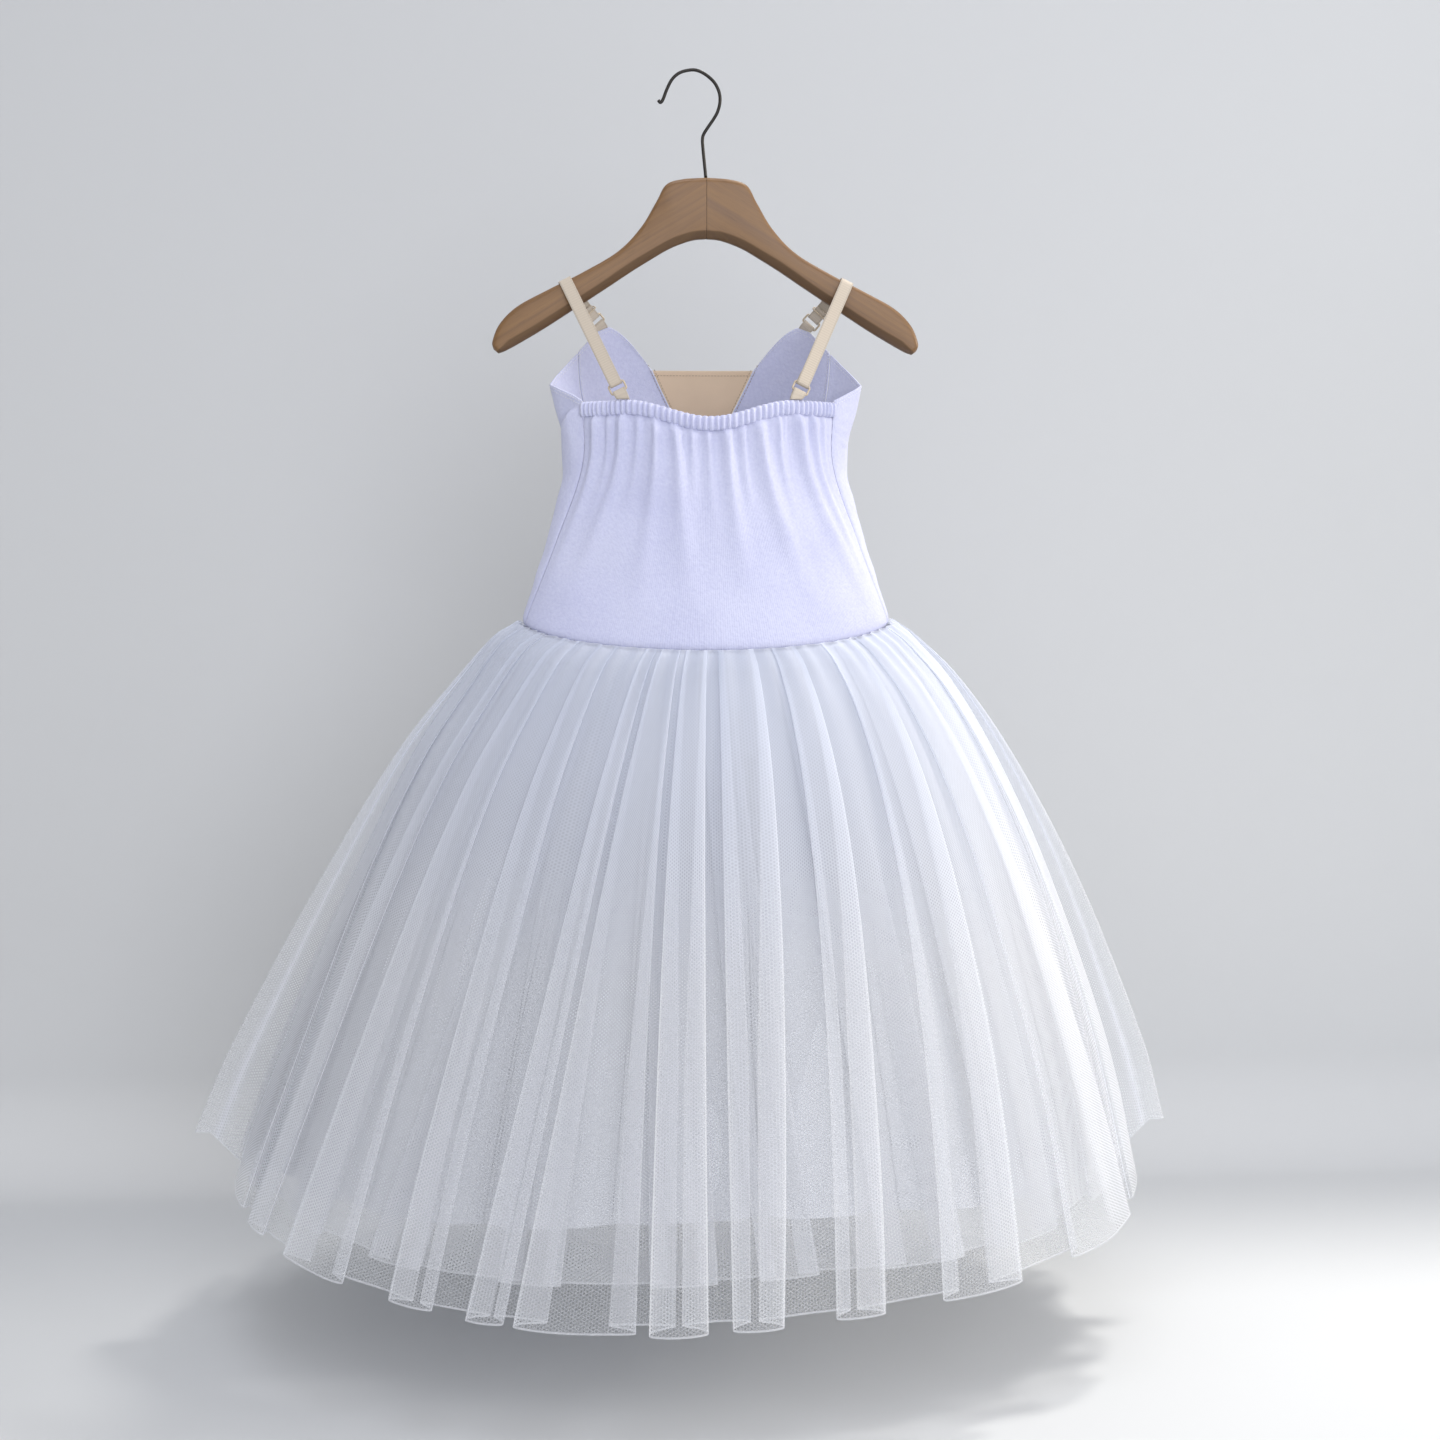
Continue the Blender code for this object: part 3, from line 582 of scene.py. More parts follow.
def satin_elastic(settings):
    """Satin strap elastic: a woven band with a lustrous face, cross ribs and corded edges.

    The ribs are 0.5 mm apart in the real band and are drawn 1.2 mm apart to show.
    """
    material, tree, shader = new_material(
        "satin_strap_elastic", Roughness=0.55, Sheen_Weight=0.15, Sheen_Roughness=0.3, IOR=1.53,
    )
    cut = add_node(tree, "ShaderNodeUVMap", uv_map="cut").outputs[0]
    split = add_node(tree, "ShaderNodeSeparateXYZ", {0: cut})
    ribs = add_node(
        tree, "ShaderNodeTexWave",
        {"Vector": cut, "Scale": wave_scale(0.0012), "Distortion": 0.2}, bands_direction="X",
    )
    edge = add_node(
        tree, "ShaderNodeMath",
        {0: split.outputs["Y"], 1: settings.width / 2, 2: settings.width / 2 - 0.0013},
        operation="COMPARE",
    )
    shade = add_node(tree, "ShaderNodeMath", {0: edge, 1: 0.14, 2: 0.84}, operation="MULTIPLY_ADD")
    ribbed = add_node(
        tree, "ShaderNodeMath",
        {0: ribs.outputs["Fac"], 1: 0.07, 2: shade}, operation="MULTIPLY_ADD",
    )
    colour = add_node(
        tree, "ShaderNodeVectorMath", {0: settings.elastic[:3], "Scale": ribbed}, operation="SCALE",
    )
    set_inputs(tree, shader, {"Base Color": colour})
    height = add_node(
        tree, "ShaderNodeMath", {0: ribs.outputs["Fac"], 1: edge}, operation="SUBTRACT",
    )
    bump = add_node(tree, "ShaderNodeBump", {"Height": height, "Strength": 0.3, "Distance": 0.0002})
    set_inputs(tree, shader, {"Normal": bump})
    return material


def uneven_colour(tree, shader, colour, scale, detail, least, most):
    """Gives the shader a colour whose shade drifts from place to place."""
    place = add_node(tree, "ShaderNodeTexCoord").outputs["Object"]
    drift = add_node(
        tree, "ShaderNodeTexNoise", {"Vector": place, "Scale": scale, "Detail": detail},
    )
    shade = add_node(
        tree, "ShaderNodeMapRange",
        {"Value": drift.outputs["Fac"], "To Min": least, "To Max": most},
    )
    tinted = add_node(
        tree, "ShaderNodeVectorMath", {0: colour[:3], "Scale": shade}, operation="SCALE",
    )
    set_inputs(tree, shader, {"Base Color": tinted})


def coated_wire(settings):
    """Nylon-coated steel: dipped, so it is smooth, slightly glossy and has no sharp edge."""
    material, tree, shader = new_material(
        "nylon_coated_steel", Roughness=0.3, Coat_Weight=0.3, Coat_Roughness=0.15, IOR=1.53,
    )
    uneven_colour(tree, shader, settings.coating, 350.0, 2.0, 0.9, 1.08)
    return material


def stained_beech(settings):
    """Stained beech, sanded and satin varnished: straight fine grain, short pores, a soft gloss.

    The grain's lines are about 1.5 mm wide and its pores 0.3 by 4 mm. The lower edge's facets are
    darkened as a painted shade.
    """
    material, tree, shader = new_material(
        "stained_beech", Roughness=0.42, Coat_Weight=0.2, Coat_Roughness=0.3, IOR=1.5,
    )
    cut = add_node(tree, "ShaderNodeUVMap", uv_map="cut").outputs[0]
    along = add_node(tree, "ShaderNodeMapping", {"Vector": cut, "Scale": (7.0, 260.0, 1.0)})
    grain = add_node(
        tree, "ShaderNodeTexNoise",
        {"Vector": along, "Scale": 1.0, "Detail": 5.0, "Distortion": 0.5},
    )
    fine = add_node(tree, "ShaderNodeMapping", {"Vector": cut, "Scale": (60.0, 1500.0, 1.0)})
    pores = add_node(tree, "ShaderNodeTexNoise", {"Vector": fine, "Scale": 1.0, "Detail": 2.0})
    dark = add_node(
        tree, "ShaderNodeMapRange",
        {"Value": pores.outputs["Fac"], "From Min": 0.60, "From Max": 0.72, "To Min": 1.0,
         "To Max": 0.75},
    )
    share = add_node(
        tree, "ShaderNodeMapRange",
        {"Value": grain.outputs["Fac"], "From Min": 0.20, "From Max": 0.80},
    )
    colour = add_node(
        tree, "ShaderNodeMix",
        {0: share, 6: settings.wood_dark, 7: settings.wood_light}, data_type="RGBA",
    )
    painted_shade_facet = add_node(tree, "ShaderNodeAttribute", attribute_name="painted_shade_facet").outputs["Fac"]
    deep = add_node(  # painted shade: the lower edge's facets are darkened as if in the arm's own shadow
        tree, "ShaderNodeMapRange", {"Value": painted_shade_facet, "To Min": 1.0, "To Max": 0.58},
    )
    pores_and_painted_shade = add_node(tree, "ShaderNodeMath", {0: dark, 1: deep}, operation="MULTIPLY")
    pored = add_node(
        tree, "ShaderNodeVectorMath", {0: colour.outputs[2], "Scale": pores_and_painted_shade}, operation="SCALE",
    )
    set_inputs(tree, shader, {"Base Color": pored})
    gloss = add_node(
        tree, "ShaderNodeMapRange", {"Value": grain.outputs["Fac"], "To Min": 0.36, "To Max": 0.52},
    )
    set_inputs(tree, shader, {"Roughness": gloss})
    bump = add_node(tree, "ShaderNodeBump", {"Height": dark, "Strength": 0.25, "Distance": 0.0002})
    set_inputs(tree, shader, {"Normal": bump})
    return material


def blackened_steel(settings):
    """Blackened steel wire: drawn and dark plated, with bright worn spots and a low gloss."""
    material, tree, shader = new_material("blackened_steel", Metallic=1.0, Roughness=0.3)
    shader.inputs["Base Color"].default_value = settings.steel
    place = add_node(tree, "ShaderNodeTexCoord").outputs["Object"]
    drift = add_node(tree, "ShaderNodeTexNoise", {"Vector": place, "Scale": 260.0, "Detail": 3.0})
    gloss = add_node(
        tree, "ShaderNodeMapRange", {"Value": drift.outputs["Fac"], "To Min": 0.22, "To Max": 0.42},
    )
    set_inputs(tree, shader, {"Roughness": gloss})
    return material


def sewing_thread(name, colour):
    """Polyester sewing thread: twisted filament, matt with tiny diagonal plies."""
    material, tree, shader = new_material(name, Roughness=0.6, Sheen_Weight=0.2, IOR=1.53)
    uneven_colour(tree, shader, colour, 1500.0, 1.0, 0.85, 1.1)
    return material


def nylon_tulle(name, settings, cover, glow_share):
    """Nylon tulle: a net of fine six-sided holes. One ply is nearly clear where it is seen square
    on. More thread lies one behind the other where it turns away, at folds and at its cut edge.

    The holes are about 1 mm apart in the real net and are drawn at net_cell to show.
    """
    material, tree, shader = new_material(name, Roughness=0.8, IOR=1.53, Sheen_Weight=0.15)
    shader.inputs["Specular IOR Level"].default_value = 0.2
    cut = add_node(tree, "ShaderNodeUVMap", uv_map="cut").outputs[0]
    split = add_node(tree, "ShaderNodeSeparateXYZ", {0: cut})
    wave = math.tau / settings.net_cell / (math.sqrt(3) / 2)
    waves = []
    for output, size in (("X", wave), ("X", wave / 2), ("Y", wave / 2 * math.sqrt(3))):
        scaled = add_node(
            tree, "ShaderNodeMath", {0: split.outputs[output], 1: size}, operation="MULTIPLY",
        )
        waves.append(add_node(tree, "ShaderNodeMath", {0: scaled}, operation="COSINE").outputs[0])
    crossed = add_node(tree, "ShaderNodeMath", {0: waves[1], 1: waves[2]}, operation="MULTIPLY")
    holes = add_node(
        tree, "ShaderNodeMath", {0: crossed, 1: 2.0, 2: waves[0]}, operation="MULTIPLY_ADD",
    )
    dense = cover > 0.9  # so many plies lie together that no hole is seen through them
    net = add_node(
        tree, "ShaderNodeMapRange",
        {"Value": holes, "From Min": -1.2, "From Max": 1.6,
         "To Min": 1.0 if dense else cover * 1.4, "To Max": 1.0 if dense else cover * 0.55},
    )
    drawn = add_node(  # the net is drawn together towards the waist
        tree, "ShaderNodeMapRange",
        {"Value": split.outputs["Y"], "From Min": 0.22, "From Max": 0.52},
    )
    thread = add_node(tree, "ShaderNodeMix", {0: drawn, 2: net, 3: 1.0 if dense else cover * 2.3})
    colour = add_node(  # many plies lie together at the waist, so their faint blue adds up
        tree, "ShaderNodeMix",
        {0: drawn, 6: settings.tulle, 7: settings.tulle_deep}, data_type="RGBA",
    ).outputs[2]
    set_inputs(tree, shader, {"Base Color": colour})
    turned = add_node(tree, "ShaderNodeLayerWeight", {"Blend": 0.5}).outputs["Facing"]
    square = add_node(tree, "ShaderNodeMath", {0: 1.0, 1: turned}, operation="SUBTRACT")
    limit = add_node(tree, "ShaderNodeMath", {0: square, 1: 0.40}, operation="MAXIMUM")
    depth = add_node(tree, "ShaderNodeMath", {0: 1.0, 1: limit}, operation="DIVIDE")
    open_share = add_node(tree, "ShaderNodeMath", {0: 1.0, 1: thread}, operation="SUBTRACT")
    through = add_node(tree, "ShaderNodeMath", {0: open_share, 1: depth}, operation="POWER")
    hidden = add_node(tree, "ShaderNodeMath", {0: 1.0, 1: through}, operation="SUBTRACT")
    hem = add_node(
        tree, "ShaderNodeMapRange",
        {"Value": split.outputs["Y"], "From Min": 0.0012, "From Max": 0.0020, "To Min": 0.62,
         "To Max": 0.0},
    )
    fold = add_node(tree, "ShaderNodeAttribute", attribute_name="crease").outputs["Fac"]
    edged = add_node(
        tree, "ShaderNodeMath", {0: fold, 1: 0.55, 2: hidden}, operation="MULTIPLY_ADD",
        use_clamp=True,
    )
    alpha = add_node(
        tree, "ShaderNodeMath", {0: edged, 1: hem}, operation="MAXIMUM", use_clamp=True,
    )
    glow = add_node(tree, "ShaderNodeBsdfTranslucent", {"Color": colour})
    lit = add_node(tree, "ShaderNodeMixShader", {0: glow_share, 1: shader, 2: glow})
    clear = add_node(tree, "ShaderNodeBsdfTransparent")
    mixed = add_node(tree, "ShaderNodeMixShader", {0: alpha, 1: clear, 2: lit})
    set_inputs(tree, tree.nodes["Material Output"], {"Surface": mixed})
    return material


def studio_paper(settings):
    """Matt paper sweep: even and pale, with a barely uneven tone. It is clear from its back, so
    that the dress's front can be looked at."""
    material, tree, shader = new_material("studio_paper", Roughness=0.9)
    shader.inputs["Specular IOR Level"].default_value = 0.1
    uneven_colour(tree, shader, settings.paper, 0.8, 2.0, 0.94, 1.04)
    behind = add_node(tree, "ShaderNodeNewGeometry").outputs["Backfacing"]
    clear = add_node(tree, "ShaderNodeBsdfTransparent")
    seen = add_node(tree, "ShaderNodeMixShader", {0: behind, 1: shader, 2: clear})
    set_inputs(tree, tree.nodes["Material Output"], {"Surface": seen})
    return material


# Node trees for what repeats


def new_tree(name, inputs):
    """A geometry tree with its input and output nodes. inputs are (name, kind, default) rows."""
    tree = bpy.data.node_groups.new(name, "GeometryNodeTree")
    tree.interface.new_socket("Geometry", in_out="INPUT", socket_type="NodeSocketGeometry")
    for word, kind, default in inputs:
        socket = tree.interface.new_socket(word, in_out="INPUT", socket_type=kind)
        if default is not None:
            socket.default_value = default
    tree.interface.new_socket("Geometry", in_out="OUTPUT", socket_type="NodeSocketGeometry")
    return tree, add_node(tree, "NodeGroupInput")


def end_tree(tree, geometry, material):
    real = add_node(tree, "GeometryNodeRealizeInstances", {"Geometry": geometry})
    painted = add_node(tree, "GeometryNodeSetMaterial", {"Geometry": real, "Material": material})
    add_node(tree, "NodeGroupOutput", {"Geometry": painted})


def stitch_tree():
    """A row of stitches, each a short rounded thread, along every line of the mesh."""
    tree, given = new_tree("stitch_row", (
        ("Stitch Length", "NodeSocketFloat", 0.0026),
        ("Thread Radius", "NodeSocketFloat", 0.0002),
        ("Material", "NodeSocketMaterial", None),
    ))
    line = add_node(tree, "GeometryNodeMeshToCurve", {"Mesh": given.outputs["Geometry"]})
    spots = add_node(
        tree, "GeometryNodeResampleCurve",
        {"Curve": line, "Length": given.outputs["Stitch Length"]}, mode="LENGTH",
    )
    thread = add_node(tree, "GeometryNodeMeshUVSphere", {"Segments": 6, "Rings": 4, "Radius": 1.0})
    half = add_node(
        tree, "ShaderNodeMath", {0: given.outputs["Stitch Length"], 1: 0.42}, operation="MULTIPLY",
    )
    radius = given.outputs["Thread Radius"]
    size = add_node(tree, "ShaderNodeCombineXYZ", {"X": half, "Y": radius, "Z": radius})
    shaped = add_node(tree, "GeometryNodeTransform", {"Geometry": thread, "Scale": size})
    along = add_node(tree, "GeometryNodeInputTangent")
    turn = add_node(tree, "FunctionNodeAlignRotationToVector", {"Vector": along}, axis="X")
    placed = add_node(
        tree, "GeometryNodeInstanceOnPoints",
        {"Points": spots, "Instance": shaped, "Rotation": turn},
    )
    end_tree(tree, placed, given.outputs["Material"])
    return tree


def gather_tree():
    """Ribs across a tube: its skin swells and pinches along its "along" attribute."""
    tree, given = new_tree("gathered_ribs", (
        ("Ribs", "NodeSocketInt", 48),
        ("Rib Height", "NodeSocketFloat", 0.0019),
        ("Seed", "NodeSocketFloat", 3.0),
        ("Material", "NodeSocketMaterial", None),
    ))
    along = add_node(
        tree, "GeometryNodeInputNamedAttribute", {"Name": "along"}, data_type="FLOAT",
    ).outputs[0]
    seeded = add_node(tree, "ShaderNodeCombineXYZ", {"X": along, "Y": given.outputs["Seed"]})
    wander = add_node(
        tree, "ShaderNodeTexNoise",
        {"Vector": seeded, "Scale": 22.0, "Detail": 1.0}, noise_dimensions="3D",
    )
    spread = add_node(
        tree, "ShaderNodeMath", {0: wander.outputs["Fac"], 1: 0.8}, operation="MULTIPLY",
    )
    turns = add_node(
        tree, "ShaderNodeMath", {0: along, 1: given.outputs["Ribs"], 2: spread},
        operation="MULTIPLY_ADD",
    )
    phase = add_node(tree, "ShaderNodeMath", {0: turns, 1: math.pi}, operation="MULTIPLY")
    wave = add_node(tree, "ShaderNodeMath", {0: phase}, operation="SINE")
    size = add_node(tree, "ShaderNodeMath", {0: wave}, operation="ABSOLUTE")
    full = add_node(tree, "ShaderNodeMath", {0: size, 1: 0.55}, operation="POWER")
    uneven = add_node(
        tree, "ShaderNodeMath",
        {0: wander.outputs["Fac"], 1: 0.25, 2: full}, operation="MULTIPLY_ADD",
    )
    rib = add_node(tree, "ShaderNodeMath", {0: full, 1: uneven}, operation="MULTIPLY")
    lift = add_node(
        tree, "ShaderNodeMath", {0: rib, 1: given.outputs["Rib Height"]}, operation="MULTIPLY",
    )
    normal = add_node(tree, "GeometryNodeInputNormal")
    swell = add_node(tree, "ShaderNodeVectorMath", {0: normal, "Scale": lift}, operation="SCALE")
    offset = add_node(
        tree, "ShaderNodeVectorMath", {0: swell, 1: (1.0, 1.0, 0.3)}, operation="MULTIPLY",
    )
    moved = add_node(
        tree, "GeometryNodeSetPosition", {"Geometry": given.outputs["Geometry"], "Offset": offset},
    )
    end_tree(tree, moved, given.outputs["Material"])
    return tree


def line_mesh(name, lines):
    """A mesh of open lines of points, for stitches to follow."""
    mesh = bmesh.new()
    for points in lines:
        knots = [mesh.verts.new(p) for p in points]
        for one, other in zip(knots, knots[1:]):
            mesh.edges.new((one, other))
    data = bpy.data.meshes.new(name)
    mesh.to_mesh(data)
    mesh.free()
    return data


# Bodice


def body_point(degrees, z, outward=0.0):
    _, half_width, back_depth, front_depth, point = smooth_row(BODY, z)
    angle = math.radians(degrees)
    across, deep = math.cos(angle), math.sin(angle)
    depth = front_depth if deep >= 0 else back_depth
    return Vector((
        CENTRE_X + (half_width + outward) * across,
        (depth + outward) * math.copysign(abs(deep) ** point, deep),
        z,
    ))


def waist_z(degrees):
    deep = math.sin(math.radians(degrees))
    dip = WAIST_DIP_FRONT if deep > 0 else WAIST_DIP_BACK
    return WAIST_Z - dip * abs(deep) ** 1.3


def casing_top(x):
    """Height of the casing's upper edge at a distance x from the middle."""
    share = min(abs(x) / STRAP_BACK_X, 1.0)
    sag = max(abs(x) - STRAP_BACK_X, 0.0) * 0.05
    return CASING_MIDDLE_Z + CASING_RISE * (1 - math.cos(math.pi * share)) / 2 - sag


def seam_angle(z):
    return blend(BACK_SEAM_TOP, BACK_SEAM_FOOT, (SEAM_TOP_Z - z) / (SEAM_TOP_Z - WAIST_Z))


def front_top(degrees):
    """Height of the upper edge from the side seam round to the insert, on the right."""
    across = math.cos(math.radians(degrees))
    peak = math.cos(math.radians(CUP_PEAK))
    if degrees < 0:
        share = (1 - across) / (1 - math.cos(math.radians(BACK_SEAM_TOP)))
        return blend(SIDE_TOP_Z, SEAM_TOP_Z, share)
    if degrees < CUP_PEAK:
        edge = blend(SIDE_TOP_Z, CUP_PEAK_Z, (1 - across) / (1 - peak))
    else:
        share = (peak - across) / (peak - math.cos(math.radians(CUP_CORNER)))
        edge = INSERT_TOP_Z + (CUP_PEAK_Z - INSERT_TOP_Z) * math.cos(math.pi / 2 * share)
    return min(edge, CUP_SEAT_Z - CUP_SEAT_SLOPE * BODY[0][1] * (across - peak))


def insert_edge(z):
    """Where the insert's right edge lies round the body at a height."""
    share = (INSERT_TOP_Z - z) / (INSERT_TOP_Z - INSERT_POINT_Z)
    return blend(CUP_CORNER, 90.0, min(max(share, 0.0), 1.0))


def row_z(v, foot, top):
    """Height of a panel's row. The uppermost row lies beside the casing."""
    knee = 1 - 1 / PANEL_ROWS
    if v <= knee:
        return blend(foot, top - CASING_HEIGHT, v / knee)
    return blend(top - CASING_HEIGHT, top, (v - knee) / (1 - knee))


def gather_lift(u, v):
    """Outward swell of the back's gathers: they start under the casing and die out downwards."""
    edge = min(1.0, 14 * u, 14 * (1 - u))
    lift = 0.0
    for top, foot, reach, height, half in GATHER_FOLDS:
        fade = max(0.0, 1 - (1 - v) / reach)
        middle = blend(foot, top, v)
        width = half * (1 + 0.9 * (1 - v))
        lift += 1.25 * height * fade**1.2 * math.exp(-(((u - middle) / width) ** 2))
    uneven = 0.6 + 0.4 * math.sin(math.tau * 7 * u + 1.0)
    turn = math.pi * (FINE_GATHERS * u + 0.5 * math.sin(math.tau * 5 * u))
    fade = max(0.0, 1 - (1 - v) / FINE_REACH) ** 2
    fine = FINE_HEIGHT * uneven * fade * abs(math.sin(turn))
    sewn = 0.0016 * math.exp(-(((1 - v) / 0.022) ** 2))
    return edge * (lift + fine) * (1 - 0.6 * math.exp(-((1 - v) / 0.03) ** 2)) - sewn


def seam_roll(u, v, size):
    """How far the cloth rolls in towards a panel's sewn edges: its two sides and its foot."""
    side, foot = min(u, 1 - u) * size[0], v * size[1]
    rolled = SEAM_SINK * max(0.0, 1 - side / SEAM_ROLL) ** 2
    return -rolled - FOOT_SINK * max(0.0, 1 - foot / FOOT_ROLL) ** 2


def soft_wrinkle(point, size, depth):
    """A slow unevenness of the cloth at a place."""
    return depth * noise.noise(point / size)


def back_place(u, v):
    top_angle = blend(180 - BACK_SEAM_TOP, 360 + BACK_SEAM_TOP, u)
    edge_x = body_point(top_angle, SEAM_TOP_Z).x - CENTRE_X
    top = casing_top(edge_x) - CASING_HEIGHT + 0.003
    seam_foot = seam_angle(waist_z(BACK_SEAM_FOOT))
    foot = waist_z(blend(180 - seam_foot, 360 + seam_foot, u))
    z = blend(foot, top, v)
    seam = seam_angle(z) - SEAM_TURN
    angle = blend(180 - seam, 360 + seam, u)
    edge = min(1.0, 8 * u, 8 * (1 - u), 5 * v)
    slow = soft_wrinkle(body_point(angle, z), 0.045, 0.0014) * edge
    return body_point(angle, z, gather_lift(u, v) + slow + seam_roll(u, v, BACK_SIZE))


def side_place(u, v):
    foot_angle = blend(BACK_SEAM_FOOT, PRINCESS_SEAM, u)
    z = row_z(v, waist_z(foot_angle), front_top(blend(BACK_SEAM_TOP, PRINCESS_SEAM, u)))
    seam_z = row_z(v, waist_z(BACK_SEAM_FOOT), SEAM_TOP_Z)
    start = seam_angle(seam_z) + SEAM_TURN
    angle = blend(start, PRINCESS_SEAM - SEAM_TURN, u)
    edge = min(1.0, 6 * u, 6 * (1 - u), 5 * v)
    slow = soft_wrinkle(body_point(angle, z), 0.022, 0.0014) * edge
    return body_point(angle, z, slow + seam_roll(u, v, SIDE_SIZE))


def folded_side(u, v):
    """The left side panel's mirror image, folded from the casing's end down to its outer edge."""
    point = side_place(u, v)
    out = Vector((point.x - CENTRE_X, point.y, 0)).normalized()
    crease = 0.93 - 0.55 * u
    share = 1 / (1 + math.exp((v - crease) / 0.007))
    fade = max(0.0, 1 - abs(v - crease) / 0.40) * max(0.0, 1 - u / 0.8) * min(1.0, 9 * u)
    lift = SIDE_FOLD_RISE * share * fade**1.5 - SIDE_FOLD_SINK * (1 - share) * fade
    return point + out * lift


def puckered_side(u, v):
    """The right side panel, with small puckers across it below the casing's end."""
    point = side_place(u, v)
    near = math.exp(-((u - 0.16) / 0.14) ** 2 - ((point.z - PUCKER_Z) / 0.017) ** 2)
    wave = PUCKER_HEIGHT * near * math.sin(math.tau * (point.z + 0.02 * u) / PUCKER_PITCH)
    return point + Vector((point.x - CENTRE_X, point.y, 0)).normalized() * wave


def cup_place(u, v):
    foot = waist_z(blend(PRINCESS_SEAM, 90.0, u))
    z = row_z(v, foot, front_top(blend(PRINCESS_SEAM, CUP_CORNER, u)))
    inner_z = row_z(v, waist_z(90.0), INSERT_TOP_Z)
    angle = blend(PRINCESS_SEAM + SEAM_TURN, insert_edge(inner_z) - SEAM_TURN, u)
    edge = min(1.0, 6 * u, 6 * (1 - u), 5 * v, 10 * (1 - v))
    slow = soft_wrinkle(body_point(angle, z), 0.03, 0.0012) * edge
    return body_point(angle, z, slow + seam_roll(u, v, FRONT_SIZE))


def insert_place(u, v):
    z = blend(INSERT_POINT_Z + 0.0015, INSERT_TOP_Z, v)
    edge = insert_edge(z) + SEAM_TURN
    return body_point(blend(edge, 180.0 - edge, u), z)


def mirrored(place):
    """The same panel on the left side, still facing out."""

    def turned(u, v):
        point = place(1 - u, v)
        return Vector((2 * CENTRE_X - point.x, point.y, point.z))

    return turned


def panel_line(place, cloth, at, along, inside, start=0.0, end=1.0):
    """A line on a panel's face: along u below its top edge, or along v beside one of its sides."""
    points = []
    for n in range(LINE_STEPS + 1):
        share = blend(start, end, n / LINE_STEPS)
        u, v = (share, at) if along == "u" else (at, share)
        here = place(u, v)
        across = place(min(u + 0.01, 1), v) - place(max(u - 0.01, 0), v)
        up = place(u, min(v + 0.01, 1)) - place(u, max(v - 0.01, 0))
        out = across.cross(up).normalized()
        points.append(here - out * (cloth + THREAD_LIFT) if inside else here + out * THREAD_LIFT)
    return points


def both_faces(place, cloth, at, along, **span):
    return [panel_line(place, cloth, at, along, inside, **span) for inside in (False, True)]


class DRESS_OT_back(bpy.types.Operator):
    """Makes the gathered back panel and the ribbed elastic casing along its top"""

    bl_idname = "dress.back"
    bl_label = "Back and casing"

    def execute(self, context):
        settings = context.scene.dress_bodice
        jersey = brushed_jersey("brushed_jersey", settings)
        data = sheet_mesh("back_cloth", 200, 64, back_place, (0.36, 0.19))
        back = add_piece("back_cloth", data, jersey, "jersey", ["back_panel"])
        thicken(back, settings.cloth)

        steps, around = 720, 14

        def place(u, v):
            seam = BACK_SEAM_TOP - SEAM_TURN
            angle = blend(180 - seam, 360 + seam, u)
            edge = body_point(angle, SEAM_TOP_Z)
            turn = math.tau * v
            out = math.copysign(abs(math.cos(turn)) ** 0.8, math.cos(turn))
            up = math.copysign(abs(math.sin(turn)) ** 0.7, math.sin(turn))
            z = casing_top(edge.x - CENTRE_X) - CASING_HEIGHT / 2
            swell = CASING_HALF_DEPTH * 0.85 * out - 0.0008
            rise = (CASING_HEIGHT / 2 - 0.0008) * up
            return body_point(angle, z, swell) + Vector((0, 0, rise))

        mesh = bmesh.new()
        along = mesh.verts.layers.float.new("along")
        rings = []
        for i in range(steps + 1):
            ring = [mesh.verts.new(place(i / steps, j / around)) for j in range(around)]
            for vertex in ring:
                vertex[along] = i / steps
            rings.append(ring)
        for one, other in zip(rings, rings[1:]):
            for j in range(around):
                k = (j + 1) % around
                mesh.faces.new((one[j], other[j], other[k], one[k]))
        mesh.faces.new(rings[0])
        mesh.faces.new(rings[-1][::-1])
        bmesh.ops.recalc_face_normals(mesh, faces=mesh.faces)
        uv = mesh.loops.layers.uv.new("cut")
        for face in mesh.faces:
            for loop in face.loops:
                loop[uv].uv = (loop.vert[along] * 0.36, loop.vert.co.z)
        tube = to_data(mesh, "elastic_casing")
        values = {"Ribs": settings.ribs, "Rib Height": settings.rib_height, "Material": jersey}
        ribbed = evaluated_mesh("elastic_casing", tube, gather_tree(), values)
        add_piece("elastic_casing", ribbed, None, "jersey", ["back_casing"])
        return {"FINISHED"}


class DRESS_OT_front(bpy.types.Operator):
    """Makes the side panels, the front panels with their cups and the nude insert"""

    bl_idname = "dress.front"
    bl_label = "Sides, front and insert"

    def execute(self, context):
        settings = context.scene.dress_bodice
        jersey = bpy.data.materials["brushed_jersey"]
        nude = nude_lining(settings)
        panels = (
            ("side_cloth", side_place, 44, 72, (0.12, 0.19), "side_panel", 0.0135),
            ("cup_cloth", cup_place, 44, 88, (0.14, 0.26), "front_panel", 0.0220),
        )
        for name, place, across, down, cut, node, area in panels:
            right, left = place, place
            if node == "side_panel":
                right, left = puckered_side, folded_side
            for word, at in (("right", right), ("left", mirrored(left))):
                data = sheet_mesh(f"{name}_{word}", across, down, at, cut)
                piece = add_piece(f"{name}_{word}", data, jersey, "jersey", [f"{node}_{word}"])
                thicken(piece, settings.cloth, edge=0.0003)
        data = sheet_mesh("insert_cloth", 40, 48, insert_place, (0.086, 0.094))
        insert = add_piece("insert_cloth", data, nude, "nude_insert", ["front_insert"])
        thicken(insert, settings.cloth, edge=0.0003)
        return {"FINISHED"}


